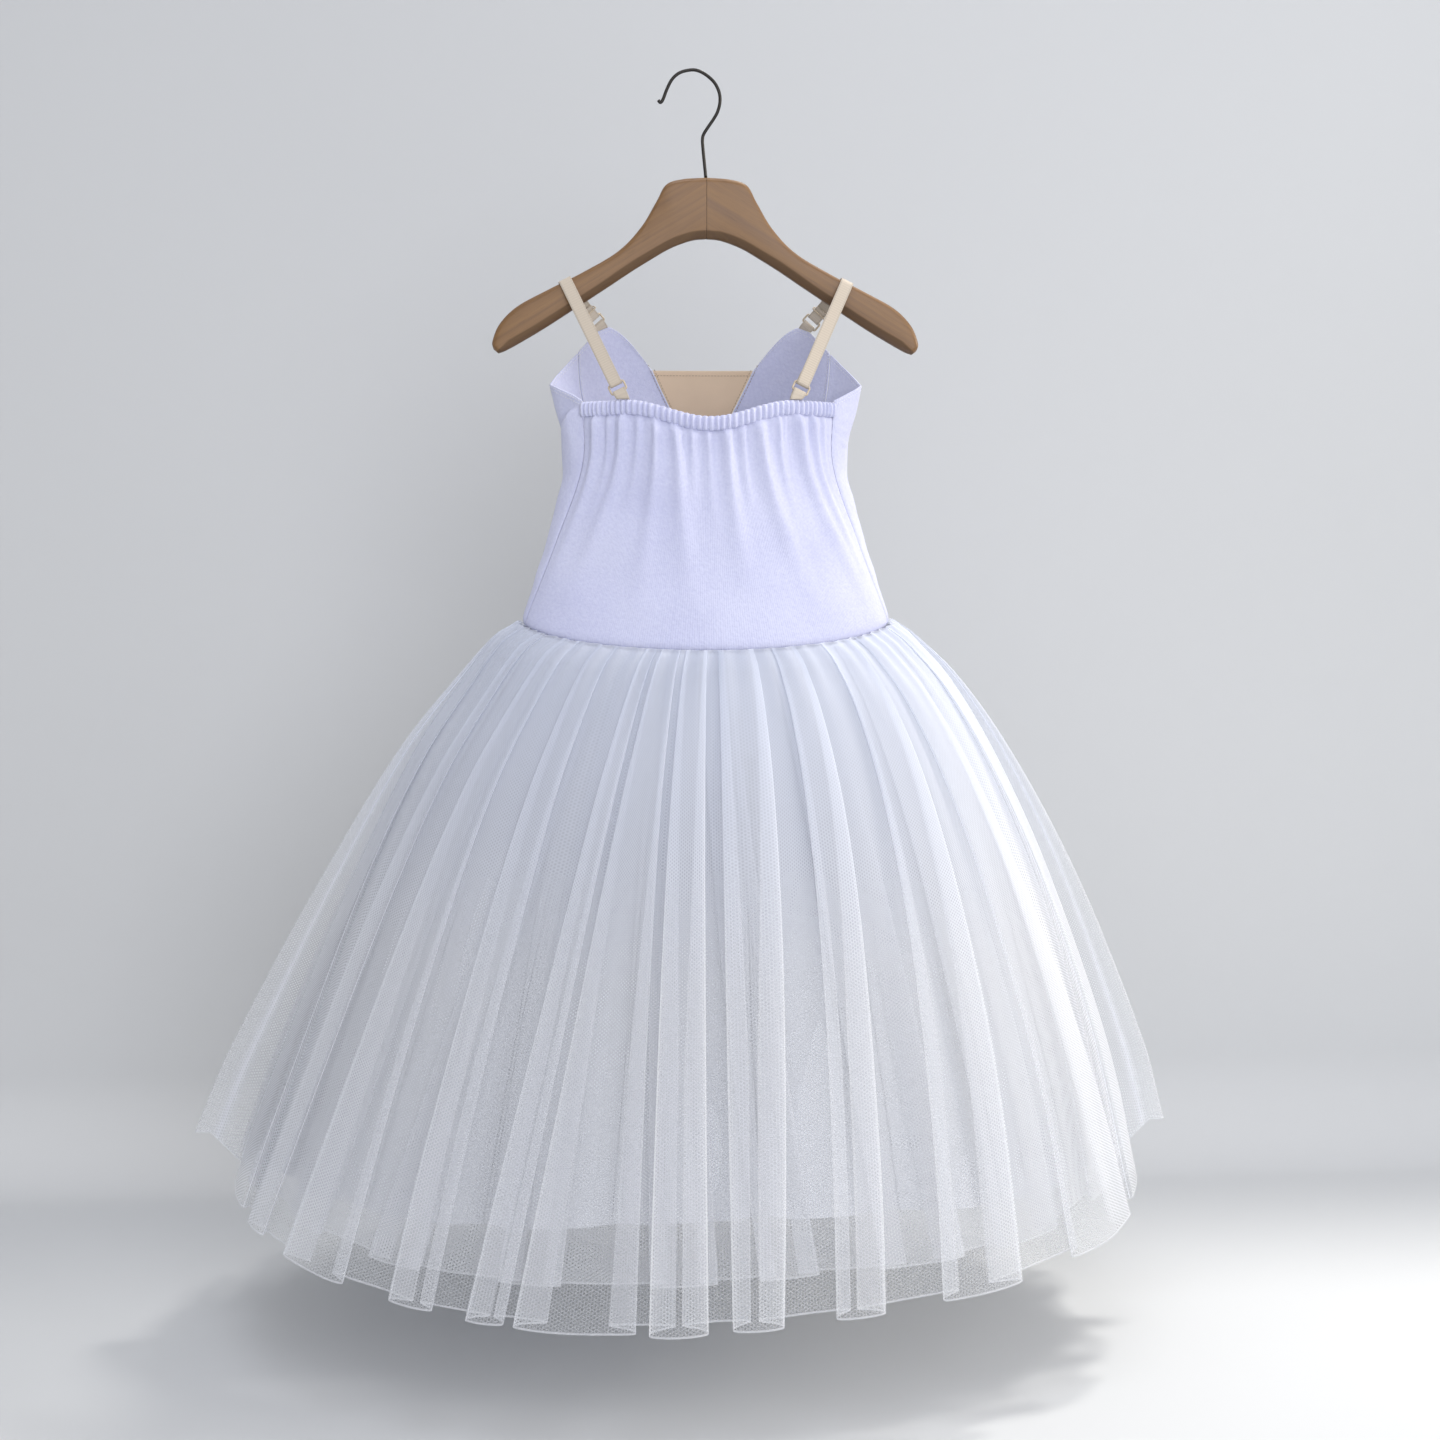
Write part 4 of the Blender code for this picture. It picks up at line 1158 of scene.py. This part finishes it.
class DRESS_OT_stitching(bpy.types.Operator):
    """Sews the rows of stitches along the neck edge, the insert and the princess seams"""

    bl_idname = "dress.stitching"
    bl_label = "Stitching"

    def execute(self, context):
        settings = context.scene.dress_bodice
        cloth = settings.cloth
        white, nude = [], []
        for place in (side_place, mirrored(side_place)):
            for at in (0.960, 0.987):
                white += both_faces(place, cloth, at, "u")
        for place, inner in ((cup_place, 1.0), (mirrored(cup_place), 0.0)):
            for at in (0.966, 0.990):
                white += both_faces(place, cloth, at, "u")
            seam = abs(1 - inner - 0.03)
            white += both_faces(place, cloth, seam, "v")
            edge = abs(inner - 0.035)
            nude += both_faces(place, cloth, edge, "v", start=0.58)
        for at in (0.022, 0.978):
            nude += both_faces(insert_place, cloth, at, "v", start=0.1)
        nude += both_faces(insert_place, cloth, 0.955, "u")
        tree = stitch_tree()
        rows = (
            ("white_stitches", white, settings.thread, "jersey"),
            ("insert_stitches", nude, settings.insert_thread, "nude_insert"),
        )
        for name, lines, colour, slot in rows:
            thread = sewing_thread(f"{name}_thread", colour)
            values = {
                "Stitch Length": settings.stitch, "Thread Radius": 0.00022, "Material": thread,
            }
            sewn = evaluated_mesh(name, line_mesh(f"{name}_lines", lines), tree, values)
            add_piece(name, sewn, None, slot)
        return {"FINISHED"}


# Straps


def ring_frame(start, start_across, seat, seat_across, rise):
    """Middle and directions of the ring over a seat: where it is, across, down and outwards."""
    down = (seat - start).normalized()
    across = (start_across + seat_across).normalized()
    across = (across - down * across.dot(down)).normalized()
    normal = down.cross(across)
    if normal.y * seat.y < 0:
        normal = -normal
    return seat - down * (rise + RING_HALF_HEIGHT), across, down, normal


def ring_points(middle, one, half_one, other, half_other):
    """A rectangle with round corners, spanned by two directions."""
    points = []
    for quarter, (a, b) in enumerate(((1, 1), (-1, 1), (-1, -1), (1, -1))):
        corner = middle + one * a * (half_one - RING_CORNER)
        corner += other * b * (half_other - RING_CORNER)
        for n in range(6):
            turn = math.pi / 2 * (quarter + n / 5)
            points.append(corner + RING_CORNER * (one * math.cos(turn) + other * math.sin(turn)))
    return points


def turn_round(bar, down, normal):
    """Half a turn of a band round a bar, from its outer side to its inner side."""
    turns = [math.pi * n / 6 for n in range(7)]
    return [bar + LOOP_RADIUS * (normal * math.cos(t) + down * math.sin(t)) for t in turns]


def strap_run(ring, over, over_across, tail):
    """Points from the strap's inner end round the ring's upper bar and up to the arm."""
    middle, across, down, normal = ring
    bar = middle - down * RING_HALF_HEIGHT
    turn = turn_round(bar, down, normal)[::-1]
    inner_end = bar - normal * LOOP_RADIUS * 0.55 - down * tail
    points = [inner_end, *turn]
    acrosses = [across] * len(points)
    for share in (0.33, 0.67):
        points.append(turn[-1].lerp(over, share))
        acrosses.append(across.lerp(over_across, share).normalized())
    return points, acrosses


def add_band(name, points, acrosses, material, settings, node):
    """A woven band along a line of points, with its direction across at each of them."""
    fine, sides, length = fine_band(points, acrosses, BAND_SPACING)
    last = len(fine) - 1

    def place(u, v):
        n = round(u * last)
        return fine[n] + sides[n] * (v - 0.5) * settings.width

    data = sheet_mesh(name, last, 6, place, (length, settings.width))
    piece = add_piece(name, data, material, "strap_elastic", [node])
    thicken(piece, settings.thick, offset=0.0, edge=0.00025)
    return piece


class DRESS_OT_straps(bpy.types.Operator):
    """Makes the elastic straps over the hanger, their rings, tabs and sliders"""

    bl_idname = "dress.straps"
    bl_label = "Straps and fittings"

    def execute(self, context):
        settings = context.scene.dress_straps
        elastic = satin_elastic(settings)
        coated = coated_wire(settings)
        for word, side in (("left", -1), ("right", 1)):
            self.build_side(word, side, settings, elastic, coated)
        return {"FINISHED"}

    def build_side(self, word, side, settings, elastic, coated):
        over_across = Vector((math.cos(STRAP_SLOPE), 0, -side * math.sin(STRAP_SLOPE)))
        up = Vector((side * math.sin(STRAP_SLOPE), 0, math.cos(STRAP_SLOPE)))
        crest_z = smooth_row(ARM_UPPER, STRAP_OVER_X)[1]
        crest = Vector((CENTRE_X + side * STRAP_OVER_X, 0, crest_z))
        lift = settings.thick / 2 + GAP
        over = [crest + Vector((0, y, 0)) + up * (lift + rise) for y, rise in STRAP_OVER]

        seat_turn = math.acos(STRAP_BACK_X / smooth_row(BODY, BACK_SEAT_Z)[1])
        back_seat = Vector((
            CENTRE_X + side * STRAP_BACK_X,
            body_point(-math.degrees(seat_turn), BACK_SEAT_Z).y,
            casing_top(STRAP_BACK_X),
        ))
        back_across = Vector((1, side * 0.25, 0)).normalized()
        peak = body_point(CUP_PEAK, CUP_SEAT_Z)
        front_seat = Vector((
            CENTRE_X + side * (peak.x - CENTRE_X), peak.y - 0.0006, CUP_SEAT_Z + 2 * GAP,
        ))
        front_across = Vector((1, -side * 0.45, -side * CUP_SEAT_SLOPE)).normalized()

        ends = (
            ("back", over[0], back_seat, back_across, BACK_TAB_RISE, 0.0090),
            ("front", over[-1], front_seat, front_across, FRONT_TAB_RISE, SLIDER_RISE),
        )
        runs = []
        for place, start, seat, seat_across, rise, tail in ends:
            ring = ring_frame(start, over_across, seat, seat_across, rise)
            middle, across, down, normal = ring
            outline = ring_points(middle, across, RING_HALF_WIDTH, down, RING_HALF_HEIGHT)
            name, node = f"{place}_wire_ring_{word}", f"{place}_ring_{word}"
            data = wire_mesh(name, outline, settings.wire, closed=True)
            add_piece(name, data, coated, "coated_metal", [node])
            turn = turn_round(middle + down * RING_HALF_HEIGHT, -down, normal)
            turn = [turn[0] + down * LOOP_RADIUS, *turn, turn[-1] + down * LOOP_RADIUS]
            points = [seat + normal * TAB_HALF_GAP, *turn, seat - normal * TAB_HALF_GAP]
            acrosses = [seat_across, *[across] * len(turn), seat_across]
            add_band(
                f"{place}_strap_tab_{word}", points, acrosses, elastic, settings,
                f"{place}_tab_{word}",
            )
            runs.append((ring, *strap_run(ring, start, over_across, tail)))
        (_, back_points, back_sides), (front_ring, front_points, front_sides) = runs
        points = [*back_points, *over, *front_points[::-1]]
        acrosses = [*back_sides, *[over_across] * len(over), *front_sides[::-1]]
        add_band(f"elastic_strap_{word}", points, acrosses, elastic, settings, f"strap_{word}")

        middle, across, down, normal = front_ring
        keeper = middle - down * (RING_HALF_HEIGHT + SLIDER_RISE - 0.0035)
        outline = ring_points(keeper, across, SLIDER_HALF_WIDTH, normal, SLIDER_HALF_DEPTH)
        data = wire_mesh(f"strap_slider_{word}", outline, SLIDER_WIRE, closed=True)
        add_piece(f"strap_slider_{word}", data, coated, "coated_metal", [f"front_slider_{word}"])


# Skirt


def hem_z(degrees, side_z, middle_z):
    deep = abs(math.sin(math.radians(degrees)))
    ripple = 0.005 * math.sin(math.radians(4 * degrees) + 1.0)
    return blend(side_z, middle_z, deep**1.4) + ripple


def bell_spread(drop, across):
    """How far out the skirt has come at a drop, 0 at the waist and 1 at the hem."""
    _, right, left = smooth_row(BELL, max(drop, 0.0))
    return blend(left, right, (across + 1) / 2)


def layer_point(size, angle, drop):
    """A point of a skirt layer without its folds, at a share of the layer's own drop."""
    across, deep = math.cos(math.radians(angle)), math.sin(math.radians(angle))
    top = waist_z(angle) + size["top"]
    full = top - hem_z(angle, HEM_SIDE_Z, HEM_MIDDLE_Z)
    if drop > EVEN_DROP:
        middle_z = size["back_z"] if deep < 0 else size["middle_z"]
        own = (top - hem_z(angle, size["side_z"], middle_z)) / full
        drop = blend(EVEN_DROP, own, (drop - EVEN_DROP) / (1 - EVEN_DROP))
    inset = blend(size["inset"], size["hem_inset"], max(drop, 0.0) ** 0.5)
    waist = body_point(angle, top, -inset)
    hem_x = CENTRE_X + HEM_SHIFT + (HEM_WIDTH - inset) * across
    spread = bell_spread(min(drop, 1.0), across) + max(drop - 1.0, 0.0) * 0.6
    x = blend(waist.x, hem_x, spread)
    return Vector((x, blend(waist.y, (HEM_DEPTH - inset) * deep, spread), top - drop * full))


def random_folds(seed, start, end, pitch, turned, lift, slant=0.12):
    """Folds between two angles, unevenly placed and sized from a fixed seed."""
    pick = random.Random(seed)
    folds, angle = [], start
    while angle < end - pitch * 0.7:
        width = pitch * pick.uniform(0.38, 0.68)
        swing = 0.65 * math.sin(math.radians(3 * angle)) + 0.35 * pick.uniform(-1, 1)
        lean = slant * pitch * swing
        at = angle + pick.uniform(0.1, 0.3) * pitch
        folds.append((
            at - lean, at - lean + width, at, at + width,
            turned * pick.uniform(0.7, 1.2), lift * pick.uniform(0.7, 1.3),
        ))
        angle = at + width + pick.uniform(0.12, 0.35) * pitch
    return folds


def fold_section(folds, drop):
    """The layer's section at a drop: a smooth closed line of (angle, lift), folds turned under."""
    rise = min(1.0, drop * 1.15) ** 0.85
    line = []
    for n, (waist_left, waist_right, hem_left, hem_right, under, lift) in enumerate(folds):
        left, right = blend(waist_left, hem_left, drop), blend(waist_right, hem_right, drop)
        width = right - left
        tuck = width * under * (0.35 + 0.65 * min(1.0, drop * 1.6))
        high = blend(WAIST_LIFT, lift, rise)
        edge = [(tuck * a + width * b, share * high) for a, b, share in FOLD_EDGE]
        line += [(left + reach, height) for reach, height in edge]
        line.append((left + width * 0.5, 1.05 * high))
        line += [(right - reach, height) for reach, height in edge[::-1]]
        following = folds[(n + 1) % len(folds)]
        turn = 360 if n == len(folds) - 1 else 0
        next_left = blend(following[0], following[2], drop) + turn
        sag = 0.35 * high
        line += [(blend(right, next_left, share), -0.5 * sag) for share in (0.25, 0.75)]
    return line


def smooth_section(line, steps):
    """A closed smooth curve through the section's knots, with steps points from each knot on."""
    count = len(line)
    found = []
    for n in range(count):
        around = []
        for k in (n - 1, n, n + 1, n + 2):
            angle, lift = line[k % count]
            around.append((angle + 360 * (k // count), lift))
        for s in range(steps):
            t = s / steps
            weights = (
                -0.5 * t + t * t - 0.5 * t**3, 1 - 2.5 * t * t + 1.5 * t**3,
                0.5 * t + 2 * t * t - 1.5 * t**3, -0.5 * t * t + 0.5 * t**3,
            )
            found.append(tuple(sum(w * p[i] for w, p in zip(weights, around)) for i in (0, 1)))
    return found


def skirt_grid(layer, folds, steps, rows, gathers):
    """A whole skirt layer, closed round the body: its points and their places on the flat cut."""
    size = dict(zip(LAYER_COLUMNS, LAYERS[layer]))
    drops = [(n / rows) ** 1.25 for n in range(rows + 1)][::-1]
    points = []
    for drop in drops:
        row = []
        for angle, lift in smooth_section(fold_section(folds, drop), steps):
            across, deep = math.cos(math.radians(angle)), math.sin(math.radians(angle))
            puff = WAIST_PUFF * math.exp(-(((drop - 0.010) / 0.025) ** 2))
            wave = math.sin(math.radians(gathers * angle))
            fine = WAIST_GATHER * math.exp(-drop / GATHER_REACH) * wave
            flat_side = across**8 if layer == "outer" else 0.0
            back_in = SIDE_FLAP * flat_side * drop**0.6
            slow = SLOW_WAVE * drop * noise.noise(Vector((angle / 9, drop * 2.2, gathers)))
            out = Vector((across, deep, 0)) * (lift - back_in + puff + fine + slow)
            point = layer_point(size, angle, drop) + out
            point.z -= SIDE_HEM_FALL * flat_side * drop**3 * max(0.0, 1 - lift / SIDE_FLAP)
            row.append(point)
        points.append(row)
    hem = points[0]
    runs = [0.0]
    for n in range(len(hem)):
        runs.append(runs[-1] + (hem[(n + 1) % len(hem)] - hem[n]).length)
    length = sum((low[0] - high[0]).length for low, high in zip(points, points[1:]))
    flat = [[(run, (1 - drop) * length) for run in runs] for drop in drops]
    return points, flat, (runs[-1], length)


class DRESS_OT_skirt(bpy.types.Operator):
    """Makes the skirt's three layers of pleated tulle"""

    bl_idname = "dress.skirt"
    bl_label = "Tulle skirt"

    def execute(self, context):
        settings = context.scene.dress_skirt
        front = random_folds(5, 6.0, 176.0, 19.0, 0.24, 0.012)
        middle = random_folds(11, 3.0, 361.0, 18.0, 0.30, 0.010, 0.7)
        inner = random_folds(23, 2.0, 360.0, 19.0, -0.25, 0.007)
        layers = (  # name, folds, points a knot, rows, gathers, cover, share let through as glow
            ("outer", [*front, *BACK_FOLDS], 5, 44, 61, settings.outer_cover, 0.40),
            ("middle", middle, 5, 40, 53, settings.middle_cover, 0.35),
            ("inner", inner, 4, 36, 47, settings.inner_cover, 0.34),
        )
        for layer, folds, steps, rows, gathers, cover, glow in layers:
            net = nylon_tulle(f"nylon_tulle_{layer}", settings, cover, glow)
            points, flat, cut = skirt_grid(layer, folds, steps, rows, gathers)
            creases = [0.0] * len(points[0])
            for n in range(len(folds) if layer != "inner" else 0):
                for knot in FOLD_EDGE_KNOTS:
                    at = (FOLD_KNOTS * n + knot) * steps
                    for step, value in ((-1, 0.25), (0, 1.0), (1, 0.25)):
                        creases[at + step] = value
            marks = [creases[:] for _ in points]
            if layer == "inner":
                for row, values in zip(points, marks):
                    for n, point in enumerate(row):
                        low = (SLIT_TOP_Z - point.z) / (SLIT_TOP_Z - SLIT_FOOT_Z)
                        wide = SLIT_HALF * (1 - low) + 0.0008
                        if 0 < low < 1 and point.y < 0 and abs(point.x - SLIT_X) < wide:
                            values[n] = -1.2
            data = grid_mesh(f"tulle_{layer}", points, flat, marks)
            nodes = [f"skirt_{layer}_back", f"skirt_{layer}_front"]
            piece = add_piece(f"tulle_{layer}", data, net, "tulle", nodes)
        return {"FINISHED"}


def brief_place(word):
    """Half of a bowl under the waist seam, cut out for the legs and closed at its foot."""
    start = 180 if word == "back" else 0
    top_half = body_point(0, WAIST_Z, -BRIEF_INSET).x - CENTRE_X
    deep_half = abs(body_point(start + 90, WAIST_Z, -BRIEF_INSET).y)

    def place(u, v):
        angle = start + blend(0.3, 179.7, u)
        top = body_point(angle, waist_z(angle) - GAP - BRIEF_INSET / 2, -BRIEF_INSET)
        x = top.x - CENTRE_X
        side = math.copysign(1, x)
        leg = max(0.0, (abs(x) - 2 * BRIEF_FOOT_HALF) / (top_half - 2 * BRIEF_FOOT_HALF))
        foot_x = side * blend(min(BRIEF_FOOT_HALF, abs(x) / 2), top_half, leg)
        foot_z = blend(BRIEF_FOOT_Z, WAIST_Z - BRIEF_SIDE_HEIGHT, leg ** BRIEF_LEG[word])
        drop = 1 - v
        at_x = blend(x, foot_x, drop**1.4)
        at_z = blend(top.z, foot_z, drop)
        sink = max(0.0, (top.z - at_z) / (top.z - BRIEF_FOOT_Z))
        bowl = math.sqrt(max(0.0, 1 - sink**2.4))
        round_it = math.sqrt(max(0.0, 1 - min(1.0, abs(at_x) / top_half) ** 2))
        y = 0.0005 + (deep_half - 0.0005) * bowl * round_it
        return Vector((CENTRE_X + at_x, math.copysign(y, math.sin(math.radians(angle))), at_z))

    return place


class DRESS_OT_brief(bpy.types.Operator):
    """Makes the jersey brief that is sewn in under the skirt"""

    bl_idname = "dress.brief"
    bl_label = "Brief"

    def execute(self, context):
        settings = context.scene.dress_bodice
        jersey = bpy.data.materials["brushed_jersey"]
        for word in ("back", "front"):
            data = sheet_mesh(f"brief_cloth_{word}", 72, 24, brief_place(word), (0.30, 0.11))
            piece = add_piece(f"brief_cloth_{word}", data, jersey, "jersey", [f"brief_{word}"])
            thicken(piece, settings.cloth)
        return {"FINISHED"}


# Hanger


def rounded(corners, radius):
    """A polygon's corners, each turned into a short curve."""
    points = []
    for n, corner in enumerate(corners):
        for other, start in ((corners[n - 1], True), (corners[(n + 1) % len(corners)], False)):
            reach = min(radius, 0.45 * (other - corner).length)
            side = corner + (other - corner).normalized() * reach
            points.append(side if start else None)
            if start:
                before = side
            else:
                points[-1] = (before + side) / 4 + corner / 2
                points.append(side)
    return points


class DRESS_OT_hanger(bpy.types.Operator):
    """Makes the two glued wooden arms and the wire hook"""

    bl_idname = "dress.hanger"
    bl_label = "Hanger"

    def execute(self, context):
        settings = context.scene.dress_hanger
        beech = stained_beech(settings)
        for word, side in (("left", -1), ("right", 1)):
            data = self.arm_mesh(f"wooden_arm_{word}", side)
            add_piece(f"wooden_arm_{word}", data, beech, "hanger_wood", [f"hanger_arm_{word}"])
        line = smooth_path([Vector((across, 0, up)) for across, up in HOOK], 150)
        data = wire_mesh("wire_hook", line, settings.wire, sides=5)
        add_piece("wire_hook", data, blackened_steel(settings), "hook_steel", ["hanger_hook"])
        return {"FINISHED"}

    def arm_mesh(self, name, side):
        steps = 96
        uppers, lowers = smooth_path(ARM_UPPER, steps), smooth_path(ARM_LOWER, steps)
        mesh = bmesh.new()
        painted_shade_facet = mesh.verts.layers.float.new("painted_shade_facet")
        rings = []
        for n, (upper, lower) in enumerate(zip(uppers, lowers)):
            height = (lower - upper).length
            late = max(0.0, n / steps - 0.93) / 0.07
            depth = WOOD_HALF_DEPTH * math.sqrt(1 - 0.72 * late**2)
            top = min(WOOD_ROUND / height, 0.3)
            foot = 1 - min(WOOD_CHAMFER / height, 0.3)
            narrow = depth - WOOD_ROUND * 0.8
            keel = depth - min(WOOD_CHAMFER, depth) * 0.62
            section = [Vector(c) for c in (
                (0.0, -narrow), (0.0, narrow), (top * height, depth), (foot * height, depth),
                (height, keel), (height, -keel), (foot * height, -depth), (top * height, -depth),
            )]
            down = (lower - upper) / height
            ring = []
            for along, y in rounded(section, 0.0012):
                out, z = upper + down * along
                ring.append(mesh.verts.new((CENTRE_X + side * max(out, WOOD_JOINT), y, z)))
            rings.append(ring)
        around = len(rings[0])
        # marks the lower edge's facets, which the wood's material darkens as painted shade
        for ring in rings:
            for j, vertex in enumerate(ring):
                vertex[painted_shade_facet] = 1.0 if 10 <= j < 20 else 0.0
        uv = mesh.loops.layers.uv.new("cut")
        for n in range(steps):
            for j in range(around):
                k = (j + 1) % around
                face = mesh.faces.new((rings[n][j], rings[n][k], rings[n + 1][k], rings[n + 1][j]))
                for loop in face.loops:
                    x, deep, z = loop.vert.co
                    out = side * (x - CENTRE_X)
                    along = out * math.cos(WOOD_SLOPE) - z * math.sin(WOOD_SLOPE)
                    across = out * math.sin(WOOD_SLOPE) + z * math.cos(WOOD_SLOPE)
                    loop[uv].uv = (along + side, across + 0.6 * deep + side * 0.3)
        mesh.faces.new(rings[0])
        mesh.faces.new(rings[-1])
        bmesh.ops.recalc_face_normals(mesh, faces=mesh.faces)
        data = to_data(mesh, name)
        data.set_sharp_from_angle(angle=math.radians(38))
        return data


# Stage


def aim_at(obj, target):
    obj.rotation_euler = (Vector(target) - obj.location).to_track_quat("-Z", "Y").to_euler()


class DRESS_OT_stage(bpy.types.Operator):
    """Makes the pale sweep, the soft lights and the camera"""

    bl_idname = "dress.stage"
    bl_label = "Stage, lights and camera"

    def execute(self, context):
        settings = context.scene.dress_stage
        scene = context.scene
        floor = HEM_MIDDLE_Z - 0.012 - settings.floor_gap
        wall, turn = 0.44, 0.10
        profile = [(-3.2, floor)]
        profile += [
            (wall - turn + turn * math.sin(t), floor + turn * (1 - math.cos(t)))
            for t in [math.pi / 2 * n / 16 for n in range(17)]
        ]
        profile.append((wall, 0.45))
        mesh = bmesh.new()
        rows = [[mesh.verts.new((x, y, z)) for x in (-4.0, 4.0)] for y, z in profile]
        for one, other in zip(rows, rows[1:]):
            mesh.faces.new((one[0], one[1], other[1], other[0]))
        data = to_data(mesh, "studio_sweep")
        data.materials.append(studio_paper(settings))
        sweep = bpy.data.objects.new("studio_sweep", data)
        scene.collection.objects.link(sweep)

        lights = (  # name, place, what it points at, size, spread in degrees, power, colour
            ("window_key", (3.1, -0.45, 0.35), (0.0, -0.1, -0.55), 0.9, 36.0, 2.2, "#FFF7E8"),
            ("high_key", (1.25, 0.85, 2.6), (0.85, -0.25, -0.95), 0.5, 54.0, 8.0, "#FFFBF4"),
            ("wall_wash", (1.5, -0.9, 1.1), (0.75, 0.44, 0.25), 0.6, 90.0, 2.0, "#FFFFFF"),
            ("top_soft", (-0.2, -0.7, 1.9), (0.0, -0.1, -0.55), 1.2, 90.0, 3.4, "#F6F8FF"),
            ("front_fill", (0.6, -2.8, 0.3), (0.0, 0.0, -0.50), 1.8, 120.0, 12.0, "#FAFAFF"),
        )
        for name, place, target, size, spread, power, colour in lights:
            lamp = bpy.data.lights.new(name, "AREA")
            lamp.shape = "DISK"
            lamp.size = size
            lamp.spread = math.radians(spread)
            lamp.energy = power
            lamp.color = hex_colour(colour)[:3]
            light = bpy.data.objects.new(name, lamp)
            light.location = place
            aim_at(light, target)
            scene.collection.objects.link(light)
        world = bpy.data.worlds.new("studio_air")
        world.use_nodes = True
        air = world.node_tree.nodes["Background"]
        air.inputs["Color"].default_value = hex_colour("#F5F5F7")
        air.inputs["Strength"].default_value = 0.60
        scene.world = world
        scene.view_settings.view_transform = "Standard"
        scene.cycles.transparent_max_bounces = 24  # a ray passes this many plies of net
        scene.cycles.max_bounces = 4
        scene.cycles.diffuse_bounces = 2
        scene.cycles.glossy_bounces = 2
        scene.cycles.transmission_bounces = 2

        camera = bpy.data.objects.new("camera", bpy.data.cameras.new("camera"))
        camera.data.lens = CAMERA_LENS
        camera.data.sensor_width = 36.0
        away = Vector((
            -math.sin(CAMERA_TURN) * math.cos(CAMERA_PITCH),
            -math.cos(CAMERA_TURN) * math.cos(CAMERA_PITCH),
            math.sin(CAMERA_PITCH),
        ))
        camera.location = CAMERA_AIM + away * CAMERA_DISTANCE
        aim_at(camera, CAMERA_AIM)
        scene.collection.objects.link(camera)
        scene.camera = camera
        return {"FINISHED"}


class DRESS_PT_panel(bpy.types.Panel):
    """Lists the dress's pieces and their sizes"""

    bl_idname = "DRESS_PT_panel"
    bl_label = "Ballet dress"
    bl_space_type = "VIEW_3D"
    bl_region_type = "UI"
    bl_category = "Ballet Dress"

    def draw(self, context):
        layout = self.layout
        for name, kind in SETTINGS.items():
            box = layout.box()
            for word in kind.__annotations__:
                box.prop(getattr(context.scene, name), word)
        for operator in OPERATORS:
            layout.operator(operator.bl_idname)


SETTINGS = {
    "dress_bodice": DressBodiceSettings,
    "dress_straps": DressStrapSettings,
    "dress_skirt": DressSkirtSettings,
    "dress_hanger": DressHangerSettings,
    "dress_stage": DressStageSettings,
}
OPERATORS = (
    DRESS_OT_stage, DRESS_OT_hanger, DRESS_OT_back, DRESS_OT_front, DRESS_OT_stitching,
    DRESS_OT_straps, DRESS_OT_brief, DRESS_OT_skirt,
)


def register():
    for item in (*SETTINGS.values(), *OPERATORS, DRESS_PT_panel):
        bpy.utils.register_class(item)
    for name, kind in SETTINGS.items():
        setattr(bpy.types.Scene, name, PointerProperty(type=kind))


def unregister():
    for name in SETTINGS:
        delattr(bpy.types.Scene, name)
    for item in (DRESS_PT_panel, *OPERATORS[::-1], *SETTINGS.values()):
        bpy.utils.unregister_class(item)


def main():
    register()
    bpy.ops.dress.stage()
    bpy.ops.dress.hanger()
    bpy.ops.dress.back()
    bpy.ops.dress.front()
    bpy.ops.dress.stitching()
    bpy.ops.dress.straps()
    bpy.ops.dress.brief()
    bpy.ops.dress.skirt()


if __name__ == "__main__":
    main()
